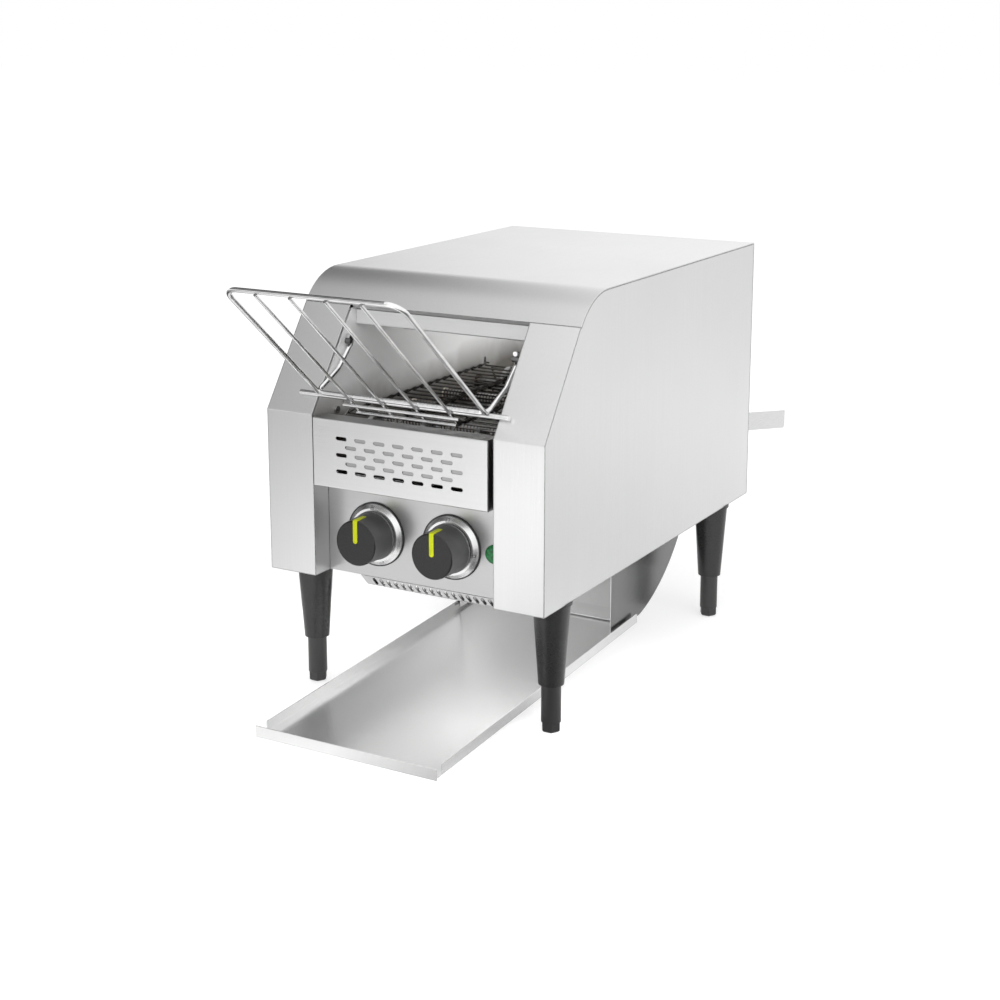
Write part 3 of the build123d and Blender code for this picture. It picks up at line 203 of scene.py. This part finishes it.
def make_turned_rings():
    """Fine rings round an axis that runs front to back through Centre."""
    group, entry, result = new_group(
        "Turned rings",
        {"Centre": (VECTOR, (0.0, 0.0, 0.0))},
        {"Ring": FLOAT})
    offset = vector_node(group, "SUBTRACT", own_place(group), entry["Centre"])
    flat = vector_node(group, "MULTIPLY", offset, (1.0, 0.0, 1.0))
    turns = math_node(group, "MULTIPLY", vector_node(group, "LENGTH", flat), RINGS_PER_METRE)
    noise = add(group, "ShaderNodeTexNoise", {"W": turns, "Scale": 1.0, "Detail": 2.0},
                noise_dimensions="1D")
    set_inputs(group, result, {"Ring": noise.outputs["Fac"]})
    return group


BRUSHED = make_brushed_grain()
MARKS = make_handling_marks()
EDGES = make_rounded_edge()
GRAIN = make_fine_grain()
RINGS = make_turned_rings()


# ---------------------------------------------------------------- materials
# Widths, depths of relief and places are in metres, shades are 0-255 screen values.

def surface(name, terms=None):
    """A new material with one Principled shader. Returns material, tree and shader."""
    material = bpy.data.materials.new(name)
    material.use_nodes = True
    tree = material.node_tree
    shader = tree.nodes["Principled BSDF"]
    set_inputs(tree, shader, terms or {})
    return material, tree, shader


def raise_surface(tree, shader, height, distance, under=None):
    """Feeds a height into the shader's normal, over a normal that is already there."""
    bump = add(tree, "ShaderNodeBump", {"Height": height, "Distance": distance, "Strength": 1.0,
                                        "Normal": under})
    set_inputs(tree, shader, {"Normal": bump.outputs["Normal"]})


# How often the drawn grain changes in a metre, along its lines and across them
ALONG = 30.0
ACROSS = 3400.0
GRAIN_ALONG = {
    "x": (ALONG, ACROSS, ACROSS),
    "y": (ACROSS, ALONG, ACROSS),
    "z": (ACROSS, ACROSS, ALONG),
}

# Shares of a sheet's own shade on a smudge and in a pressed recess, the latter painted shade, and the
# painted highlight that an edge adds to it
SMUDGED = 0.965
RECESS_SHADE = 0.55
PAINTED_EDGE_HIGHLIGHT = 16


def brushed_steel(name, shade, along, roughness=0.30, metallic=1.0, contrast=0.013,
                  depth=0.0000009, recess=None, painted_edge_light=None, edge_width=0.0005):
    """Sheet steel with a grain drawn along one axis, faint smudges and a line of painted light on its edges.

    That line is a painted highlight, a little paler than the sheet, unless a shade is given for it; a darker
    one given is a painted shade. Between two depths given for a recess, front to back, a pressing is painted
    darker: painted shade in the recess.
    """
    material, tree, shader = surface(name, {"Metallic": metallic})
    grain = place(tree, BRUSHED, Stretch=GRAIN_ALONG[along])
    mark = place(tree, MARKS, Scale=7.0, Amount=0.4)["Mark"]
    edge = place(tree, EDGES, Radius=edge_width)
    base = grey(shade)
    drawn = blend_colours(tree, vary(tree, grain["Streak"], 0.0, 1.0),
                          toned(base, 1 - contrast), toned(base, 1 + contrast))
    wiped = blend_colours(tree, mark, drawn, toned(base, SMUDGED))
    # painted light on the edges: a pale painted highlight by default, a dark painted shade where a darker
    # tone is given
    tone = blend_colours(tree, edge["Edge"], wiped, grey(painted_edge_light or min(255, shade + PAINTED_EDGE_HIGHLIGHT)))
    # painted shade: the bottom of a pressing is coloured darker, standing in for the shade inside it
    if recess:
        recess_shade = ramp(tree, axes(tree, own_place(tree))["Y"], *recess)
        tone = blend_colours(tree, recess_shade, tone, toned(base, RECESS_SHADE))
    polish = math_node(tree, "ADD", vary(tree, grain["Grain"], roughness - 0.03, roughness + 0.03),
                       math_node(tree, "MULTIPLY", mark, 0.05))
    set_inputs(tree, shader, {"Base Color": tone, "Roughness": polish})
    raise_surface(tree, shader, grain["Grain"], depth, edge["Normal"])
    return material


def chute_steel():
    """Chute steel with painted light and shade: pale satin inside the chute, coloured darker and polished on
    the outside of its side plates.
    """
    material, tree, shader = surface("chute steel")
    grain = place(tree, BRUSHED, Stretch=GRAIN_ALONG["x"])["Grain"]
    mark = place(tree, MARKS, Scale=9.0, Amount=0.6)["Mark"]
    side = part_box("rear_chute")[1].x
    across = math_node(tree, "ABSOLUTE", axes(tree, own_place(tree))["X"])
    outside = ramp(tree, across, side - 0.0006, side - 0.0004)
    # painted light and shade: the same sheet is coloured pale inside, where it is lit, and dark on its outer
    # faces
    inner = blend_colours(tree, mark, grey(222), grey(208))
    shaded_outer = blend_colours(tree, mark, grey(132), grey(112))
    polish = math_node(tree, "ADD", spread(tree, outside, 0.38, 0.24), vary(tree, grain, -0.03, 0.03))
    set_inputs(tree, shader, {"Base Color": blend_colours(tree, outside, inner, shaded_outer),
                              "Metallic": spread(tree, outside, 0.3, 0.92),
                              "Roughness": polish})
    raise_surface(tree, shader, grain, 0.0000012)
    return material


# Heights between which the chamber wall goes from painted shade to its own pale tone
SHADED_BELOW = 0.258
UNSHADED_ABOVE = 0.294


def wall_steel():
    """Satin chamber wall, painted darker low down beside the belt: painted shade."""
    material, tree, shader = surface("chamber wall steel", {"Metallic": 0.3})
    grain = place(tree, BRUSHED, Stretch=GRAIN_ALONG["y"])["Grain"]
    mark = place(tree, MARKS, Scale=14.0, Amount=1.0)["Mark"]
    height = math_node(tree, "ADD", axes(tree, own_place(tree))["Z"], spread(tree, mark, -0.005, 0.005))
    # painted shade low on the wall, with a wobbly upper edge
    clean = ramp(tree, height, SHADED_BELOW, UNSHADED_ABOVE)
    set_inputs(tree, shader, {"Base Color": blend_colours(tree, clean, linear(112, 109, 104), grey(232)),
                              "Roughness": vary(tree, grain, 0.38, 0.46)})
    raise_surface(tree, shader, grain, 0.000001)
    return material


def heated_steel(name, shade):
    """Steel that has been hot: straw patches over the drawn grain."""
    material, tree, shader = surface(name, {"Metallic": 0.6})
    grain = place(tree, BRUSHED, Stretch=GRAIN_ALONG["x"])["Grain"]
    patch = place(tree, MARKS, Scale=16.0, Amount=1.0)["Mark"]
    straw = linear(shade, shade * 0.95, shade * 0.87)
    set_inputs(tree, shader, {"Base Color": blend_colours(tree, patch, grey(shade), straw),
                              "Roughness": vary(tree, grain, 0.26, 0.44)})
    raise_surface(tree, shader, grain, 0.000005)
    return material


def plain_metal(name, colour, roughness, unevenness=0.05, grain_scale=1400.0, depth=0.000003):
    """Turned, drawn or plated metal without a direction to its finish."""
    material, tree, shader = surface(name, {"Metallic": 1.0})
    grain = place(tree, GRAIN, Scale=grain_scale)["Grain"]
    mark = place(tree, MARKS, Scale=60.0, Amount=1.0)["Mark"]
    polish = vary(tree, grain, roughness - unevenness, roughness + unevenness)
    set_inputs(tree, shader, {"Base Color": blend_colours(tree, mark, colour, toned(colour, 0.82)),
                              "Roughness": polish})
    raise_surface(tree, shader, grain, depth)
    return material


def moulded_plastic(name, colour, roughness, edge_wear_and_highlight=1.6, shine=0.45):
    """Moulded plastic with a fine even grain and paler edges: part wear, part painted highlight."""
    material, tree, shader = surface(name, {"Specular IOR Level": shine})
    grain = place(tree, GRAIN, Scale=1900.0)["Grain"]
    mark = place(tree, MARKS, Scale=22.0, Amount=0.7)["Mark"]
    edge = place(tree, EDGES, Radius=0.0007)
    # paler edges: part wear and part painted highlight
    worn_and_highlit = math_node(tree, "MULTIPLY", edge["Edge"], 0.6)
    polish = math_node(tree, "ADD", vary(tree, grain, roughness - 0.05, roughness + 0.07),
                       math_node(tree, "MULTIPLY", mark, 0.06))
    set_inputs(tree, shader, {"Base Color": blend_colours(tree, worn_and_highlit, colour, toned(colour, edge_wear_and_highlight)),
                              "Roughness": polish})
    raise_surface(tree, shader, grain, 0.00001, edge["Normal"])
    return material


def knob_plastic():
    """Black knob with a smooth dark face and a softer skirt, paler partly from its finish and partly as
    painted light, with a painted highlight on its edges.
    """
    material, tree, shader = surface("knob plastic", {"Specular IOR Level": 0.5})
    grain = place(tree, GRAIN, Scale=1500.0)["Grain"]
    mark = place(tree, MARKS, Scale=40.0, Amount=0.8)["Mark"]
    edge = place(tree, EDGES, Radius=0.0012)
    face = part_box("speed_knob")[0].y
    skirt = ramp(tree, axes(tree, own_place(tree))["Y"], face + 0.0006, face + 0.0014)
    # the skirt is paler, partly its softer finish and partly painted light
    tone = blend_colours(tree, skirt, grey(12), blend_colours(tree, mark, grey(72), grey(60)))
    # painted highlight on the skirt's edges
    rim_highlight = math_node(tree, "MULTIPLY", edge["Edge"], math_node(tree, "MULTIPLY", skirt, 0.7))
    polish = math_node(tree, "ADD", spread(tree, skirt, 0.26, 0.44), vary(tree, grain, -0.04, 0.05))
    set_inputs(tree, shader, {"Base Color": blend_colours(tree, rim_highlight, tone, grey(128)),
                              "Roughness": polish})
    raise_surface(tree, shader, grain, 0.000008, edge["Normal"])
    return material


SIGN_RADIUS = 0.0257
HALF_LINE = 0.00022
# Clock angle, half width, half the width of its line or None for a full square, divided in four
SPEED_SIGNS = [(-3, 0.0015, HALF_LINE, True), (158, 0.0006, None, False)]
HEAT_SIGNS = [(-3, 0.0015, HALF_LINE, False), (98, 0.0012, HALF_LINE, False)]


def sign_mask(tree, centre, half, half_line, divided):
    """1 on a printed square seen from the front, 0 beside it."""
    here = axes(tree, own_place(tree))
    across = math_node(tree, "ABSOLUTE", math_node(tree, "SUBTRACT", here["X"], centre[0]))
    up = math_node(tree, "ABSOLUTE", math_node(tree, "SUBTRACT", here["Z"], centre[1]))
    farther = math_node(tree, "MAXIMUM", across, up)
    if half_line is None:
        return math_node(tree, "LESS_THAN", farther, half)
    past_side = math_node(tree, "SUBTRACT", farther, half)
    off_line = math_node(tree, "ABSOLUTE", past_side)
    if divided:
        nearer = math_node(tree, "MINIMUM", across, up)
        off_cross = math_node(tree, "ADD", nearer, math_node(tree, "MAXIMUM", past_side, 0.0))
        off_line = math_node(tree, "MINIMUM", off_line, off_cross)
    return math_node(tree, "LESS_THAN", off_line, half_line)


def turned_dial(name, centre, signs):
    """Satin aluminium with turned rings and small printed squares."""
    material, tree, shader = surface(name, {"Metallic": 1.0})
    ring = place(tree, RINGS, Centre=centre)["Ring"]
    edge = place(tree, EDGES, Radius=0.0004)
    tone = blend_colours(tree, ramp(tree, ring, 0.25, 0.75), grey(224), grey(240))
    for angle, half, half_line, divided in signs:
        turn = math.radians(angle)
        spot = (centre.x + SIGN_RADIUS * math.sin(turn), centre.z + SIGN_RADIUS * math.cos(turn))
        tone = blend_colours(tree, sign_mask(tree, spot, half, half_line, divided), tone, grey(96))
    set_inputs(tree, shader, {"Base Color": tone,
                              "Roughness": spread(tree, ring, 0.20, 0.32, 0.25, 0.75)})
    raise_surface(tree, shader, ring, 0.000003, edge["Normal"])
    return material


def quartz():
    """Frosted quartz tube with the wound heating wire showing through as fine stripes."""
    material, tree, shader = surface("quartz", {"Roughness": 0.18, "Specular IOR Level": 0.6,
                                                "Coat Weight": 0.5})
    stripe = add(tree, "ShaderNodeTexWave",
                 {"Vector": own_place(tree), "Scale": 90.0, "Distortion": 0.3, "Detail": 1.0},
                 bands_direction="X")
    wound = ramp(tree, stripe.outputs["Fac"], 0.45, 0.75)
    set_inputs(tree, shader, {"Base Color": blend_colours(tree, wound, grey(172), linear(96, 84, 76))})
    raise_surface(tree, shader, place(tree, GRAIN, Scale=900.0)["Grain"], 0.00001)
    return material


def ceramic():
    """White unglazed ceramic with a few warmer patches."""
    material, tree, shader = surface("white ceramic", {"Specular IOR Level": 0.4})
    grain = place(tree, GRAIN, Scale=700.0)["Grain"]
    mark = place(tree, MARKS, Scale=70.0, Amount=1.0)["Mark"]
    tone = blend_colours(tree, mark, linear(226, 220, 208), linear(196, 186, 168))
    set_inputs(tree, shader, {"Base Color": tone, "Roughness": vary(tree, grain, 0.45, 0.7)})
    raise_surface(tree, shader, grain, 0.00002)
    return material


def green_lens():
    """Deep green moulded lens with small facets that catch the light."""
    material, tree, shader = surface("green lens", {"Roughness": 0.3, "Coat Weight": 0.2,
                                                    "Coat Roughness": 0.08})
    facet = add(tree, "ShaderNodeTexVoronoi", {"Vector": own_place(tree), "Scale": 420.0}, feature="F1")
    rim = ramp(tree, facet.outputs["Distance"], 0.15, 0.85)
    set_inputs(tree, shader, {"Base Color": blend_colours(tree, rim, linear(0, 126, 60), linear(0, 74, 34))})
    raise_surface(tree, shader, facet.outputs["Distance"], 0.00012)
    return material


def pointer_paint():
    """Yellow-green paint, slightly uneven."""
    material, tree, shader = surface("pointer yellow green", {"Specular IOR Level": 0.4})
    grain = place(tree, GRAIN, Scale=1900.0)["Grain"]
    mark = place(tree, MARKS, Scale=120.0, Amount=1.0)["Mark"]
    tone = blend_colours(tree, mark, linear(188, 196, 14), linear(172, 182, 8))
    set_inputs(tree, shader, {"Base Color": tone, "Roughness": vary(tree, grain, 0.36, 0.5)})
    raise_surface(tree, shader, grain, 0.00001)
    return material


# ---------------------------------------------------------------- finishes

def centre_of(node):
    """The middle of a node's box."""
    low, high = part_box(node)
    return (low + high) / 2


VENT_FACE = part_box("front_vent_panel")[0].y
# depths of the vent panel's pressings, which are painted darker as shade
VENT_RECESS = (VENT_FACE + 0.0003, VENT_FACE + 0.0009)
CORNERS = ["front_left", "front_right", "rear_left", "rear_right"]

FINISHES = [
    # their edges carry a dark line of painted shade along the folds
    (brushed_steel("side panel steel", 226, "z", painted_edge_light=26, edge_width=0.0016),
     ["right_side_panel", "left_side_panel"]),
    (brushed_steel("cover steel", 218, "y"), ["top_cover"]),
    # the front panels get a darker copy of the sheet steel: painted shade
    (brushed_steel("shaded front steel", 196, "x"), ["control_panel", "intake_strip", "rear_panel"]),
    (brushed_steel("vent panel steel", 224, "x", recess=VENT_RECESS), ["front_vent_panel"]),
    (brushed_steel("pan steel", 236, "x", metallic=0.3), ["base_pan"]),
    (brushed_steel("tray steel", 238, "y", roughness=0.23, metallic=0.82, contrast=0.006,
                   depth=0.0000004),
     ["exit_tray"]),
    (chute_steel(), ["rear_chute"]),
    (wall_steel(), ["inner_wall_right", "inner_wall_left"]),
    (brushed_steel("header steel", 228, "x", roughness=0.34, metallic=0.6), ["header_plate"]),
    (brushed_steel("strip steel", 214, "y", roughness=0.28), ["rear_spacer_right", "rear_spacer_left"]),
    (heated_steel("heated steel", 160), ["upper_reflector", "rear_baffle", "motor_bracket"]),
    # the same heated steel painted darker under the belt: painted shade
    (heated_steel("shaded heated steel", 96), ["lower_reflector", "chamber_floor"]),
    (plain_metal("belt wire", linear(112, 110, 108), 0.26), ["conveyor_belt"]),
    (plain_metal("chrome wire", grey(232), 0.10, 0.03), ["feed_rack"]),
    (plain_metal("peg steel", grey(120), 0.34), ["rack_pegs"]),
    (plain_metal("machined steel", grey(190), 0.28),
     ["idler_shaft", "drive_shaft", "motor_shaft", "idler_sprockets", "drive_sprockets",
      "shaft_sprocket", "motor_sprocket", "leg_nuts"]),
    (plain_metal("chain steel", linear(120, 114, 106), 0.36), ["drive_chain"]),
    (plain_metal("screw steel", grey(214), 0.22), ["case_screws"]),
    (plain_metal("brass", linear(200, 170, 96), 0.26), ["speed_spindle", "heat_spindle"]),
    (plain_metal("sintered bronze", linear(112, 100, 84), 0.5, 0.08, 2400.0, 0.00001), ["shaft_bushes"]),
    (plain_metal("zinc casting", grey(158), 0.48, 0.08, 1100.0, 0.00001), ["gear_motor"]),
    (quartz(), ["upper_heater_tubes", "lower_heater_tubes"]),
    (ceramic(), ["heater_caps"]),
    (knob_plastic(), ["speed_knob", "heat_knob"]),
    (moulded_plastic("leg plastic", grey(18), 0.26, edge_wear_and_highlight=2.2, shine=0.75),
     [f"leg_{corner}" for corner in CORNERS]),
    (moulded_plastic("foot plastic", grey(20), 0.32, edge_wear_and_highlight=2.2, shine=0.9),
     [f"foot_{corner}" for corner in CORNERS]),
    (moulded_plastic("gasket rubber", grey(46), 0.6), ["dial_gaskets"]),
    (moulded_plastic("control housing", grey(60), 0.5),
     ["speed_control", "heat_control", "pilot_body", "cord_gland"]),
    (pointer_paint(), ["speed_pointer", "heat_pointer"]),
    (turned_dial("speed dial aluminium", centre_of("speed_dial"), SPEED_SIGNS), ["speed_dial"]),
    (turned_dial("heat dial aluminium", centre_of("heat_dial"), HEAT_SIGNS), ["heat_dial"]),
    (green_lens(), ["pilot_lens"]),
]


def dress(names, material):
    """Gives each node one material."""
    for name in names:
        mesh = nodes[name].data
        mesh.materials.clear()
        mesh.materials.append(material)


for finish, names in FINISHES:
    dress(names, finish)


# ---------------------------------------------------------------- floor and surround
# Both are plain to matte pieces and drawn in lighter and darker parts for reflections. To the camera
# the surround is plain, and the floor's glow is a little weaker near the object: this keeps its real
# shadows and adds a faint painted shade round it.

MATTE_LIGHT = 0.55
MIRRORED_LIGHT = 1.29
CAMERA_LIGHT = 1.0

FLOOR_COLOUR = (0.55, 0.55, 0.55, 1.0)
FLOOR_HALF_SIDE = 12.0
FLOOR_DROP = 0.0005
# Along X and along Y: where the zone starts, where it ends, and half the width of its soft ends
RIGHT_ZONE = ((0.06, 0.95, 0.08), (-0.85, -0.14, 0.10))
LEFT_ZONE = ((-1.20, -0.44, 0.10), (-0.45, 0.50, 0.12))
ZONE_SHADE = 0.85


def kinds_of_ray(tree):
    """Two masks: 1 for a reflection, and 1 for a ray from the camera, straight or through glass."""
    path = add(tree, "ShaderNodeLightPath").outputs
    return path["Is Glossy Ray"], math_node(tree, "MAXIMUM", path["Is Camera Ray"],
                                            path["Is Transmission Ray"])


def soft_band(tree, value, low, high, blur):
    """1 where a value lies between low and high, with soft ends."""
    rising = ramp(tree, value, low - blur, low + blur)
    falling = spread(tree, value, 1.0, 0.0, high - blur, high + blur)
    return math_node(tree, "MINIMUM", rising, falling)


def soft_zone(tree, here, across, along):
    """1 inside a rectangle of the floor, with soft sides."""
    return math_node(tree, "MINIMUM", soft_band(tree, here["X"], *across),
                     soft_band(tree, here["Y"], *along))


def reflected_floor(tree):
    """How the floor looks in a reflection: its glow, and the share of it that two zones take away."""
    here = axes(tree, own_place(tree))
    rising = spread(tree, here["X"], 0.04, 0.97, -0.72, -0.30)
    falling = spread(tree, here["X"], 1.0, 0.60, -0.10, 0.50)
    away = spread(tree, math_node(tree, "ABSOLUTE", here["Y"]), 0.44, 1.08, 0.35, 1.15)
    farther = math_node(tree, "MULTIPLY", away, spread(tree, here["Y"], 1.0, 0.84, 0.80, 1.60))
    glow = math_node(tree, "MULTIPLY", math_node(tree, "MINIMUM", rising, falling), farther)
    zones = math_node(tree, "MAXIMUM", soft_zone(tree, here, *RIGHT_ZONE),
                      soft_zone(tree, here, *LEFT_ZONE))
    return glow, math_node(tree, "MULTIPLY", zones, ZONE_SHADE)


def floor_material():
    """Matte, with a glow that keeps the floor near white to the camera and leaves its shadows; the glow is
    weaker near the object, a faint painted shade round it.
    """
    material = bpy.data.materials.new("floor")
    material.use_nodes = True
    tree = material.node_tree
    tree.nodes.clear()
    mirrored, direct = kinds_of_ray(tree)
    reflected_glow, zones = reflected_floor(tree)
    shade = math_node(tree, "MULTIPLY", mirrored, zones)
    matte = add(tree, "ShaderNodeBsdfDiffuse", {"Color": blend_colours(tree, shade, FLOOR_COLOUR, BLACK)})
    reach = vector_node(tree, "LENGTH", own_place(tree))
    # weaker glow near the object: partly so the real shadows show, partly a faint painted shade round it
    seen = math_node(tree, "MULTIPLY", direct, spread(tree, reach, 0.60, 0.76, 0.35, 0.95))
    reflected = math_node(tree, "MULTIPLY", math_node(tree, "MULTIPLY", mirrored, reflected_glow),
                          math_node(tree, "SUBTRACT", 1.0, shade))
    glow = add(tree, "ShaderNodeEmission",
               {"Color": WHITE, "Strength": math_node(tree, "MAXIMUM", seen, reflected)})
    both = add(tree, "ShaderNodeAddShader", {0: matte.outputs[0], 1: glow.outputs[0]})
    add(tree, "ShaderNodeOutputMaterial", {"Surface": both.outputs[0]})
    return material


def make_floor():
    """Wide flat floor just under the feet."""
    mesh = bpy.data.meshes.new("floor")
    shell = bmesh.new()
    bmesh.ops.create_grid(shell, x_segments=1, y_segments=1, size=FLOOR_HALF_SIDE)
    shell.to_mesh(mesh)
    shell.free()
    mesh.materials.append(floor_material())
    floor = bpy.data.objects.new("floor", mesh)
    floor.location.z = -FLOOR_DROP
    bpy.context.scene.collection.objects.link(floor)


def reflected_sky(tree):
    """How the surround looks in a reflection: pale low down, and darker high on the left.

    High on the left it is mid grey towards the front and nearly black towards the back.
    """
    toward = axes(tree, add(tree, "ShaderNodeTexCoord").outputs["Generated"])
    front = blend_colours(tree, ramp(tree, toward["X"], -0.56, -0.465), grey(112), grey(255))
    back = blend_colours(tree, ramp(tree, toward["X"], -0.535, -0.435), grey(36), grey(246))
    high = blend_colours(tree, ramp(tree, toward["Y"], 0.02, 0.36), front, back)
    return blend_colours(tree, ramp(tree, toward["Z"], 0.22, 0.34), grey(244), high)


def make_world():
    """The surround: white to the camera, dimmer on matte pieces, drawn and brighter in reflections."""
    world = bpy.data.worlds.new("studio")
    bpy.context.scene.world = world
    world.use_nodes = True
    tree = world.node_tree
    tree.nodes.clear()
    mirrored, direct = kinds_of_ray(tree)
    colour = blend_colours(tree, mirrored, WHITE, reflected_sky(tree))
    in_mirror = math_node(tree, "MULTIPLY", mirrored, MIRRORED_LIGHT - MATTE_LIGHT)
    in_camera = math_node(tree, "MULTIPLY", direct, CAMERA_LIGHT - MATTE_LIGHT)
    strength = math_node(tree, "ADD", MATTE_LIGHT, math_node(tree, "ADD", in_mirror, in_camera))
    shown = add(tree, "ShaderNodeBackground", {"Color": colour, "Strength": strength})
    add(tree, "ShaderNodeOutputWorld", {"Surface": shown.outputs[0]})


# ---------------------------------------------------------------- lamps

# Name, place, what it faces, width, height, watts
LAMPS = [
    ("top box", (0.3, -0.2, 1.9), (0.0, 0.0, 0.2), 1.6, 1.6, 14.0),
    ("right box", (1.9, -0.9, 1.1), (0.0, 0.0, 0.2), 1.4, 1.4, 10.0),
    ("front box", (0.2, -1.9, 1.1), (0.0, 0.0, 0.2), 1.2, 1.2, 12.0),
    ("chamber fill", (0.080, 0.095, 0.322), (-0.1, 0.120, 0.325), 0.22, 0.03, 0.42),
    ("tray fill", (0.34, -0.36, 0.10), (0.03, -0.06, 0.03), 0.30, 0.12, 1.2),
    ("low fill", (-0.27, -0.05, 0.004), (-0.10, -0.05, 0.12), 0.24, 0.36, 1.0),
    ("chute fill", (0.0, -0.02, 0.05), (0.0, 0.06, 0.25), 0.12, 0.08, 0.15),
]


def soft_lamp(name, stand, aim, width, height, watts):
    """A soft box that faces aim, and that reflections and the camera don't show."""
    lamp = bpy.data.lights.new(name, "AREA")
    lamp.shape = "RECTANGLE"
    lamp.size = width
    lamp.size_y = height
    lamp.energy = watts
    made = bpy.data.objects.new(name, lamp)
    made.location = stand
    made.rotation_euler = (Vector(aim) - Vector(stand)).to_track_quat("-Z", "Y").to_euler()
    made.visible_glossy = False
    made.visible_camera = False
    bpy.context.scene.collection.objects.link(made)


# ---------------------------------------------------------------- camera

CAMERA_AZIMUTH = 29.57
CAMERA_ELEVATION = 12.63
CAMERA_PLACE = (0.82833, -1.50234, 0.63988)
FOCAL_PIXELS = 1790.08
IMAGE_PIXELS = 1000
SENSOR = 36.0
SHIFT_DOWN = 0.10
FARTHEST_SEEN = 50.0


def make_camera():
    """The camera, with its picture shifted down to hold the whole object."""
    lens = bpy.data.cameras.new("camera")
    lens.sensor_width = SENSOR
    lens.lens = FOCAL_PIXELS * SENSOR / IMAGE_PIXELS
    lens.shift_y = -SHIFT_DOWN
    lens.clip_end = FARTHEST_SEEN
    camera = bpy.data.objects.new("camera", lens)
    camera.location = CAMERA_PLACE
    camera.rotation_euler = (math.radians(90 - CAMERA_ELEVATION), 0.0, math.radians(CAMERA_AZIMUTH))
    bpy.context.scene.collection.objects.link(camera)
    bpy.context.scene.camera = camera


make_floor()
make_world()
for lamp_values in LAMPS:
    soft_lamp(*lamp_values)
make_camera()
bpy.context.scene.view_settings.view_transform = "Standard"
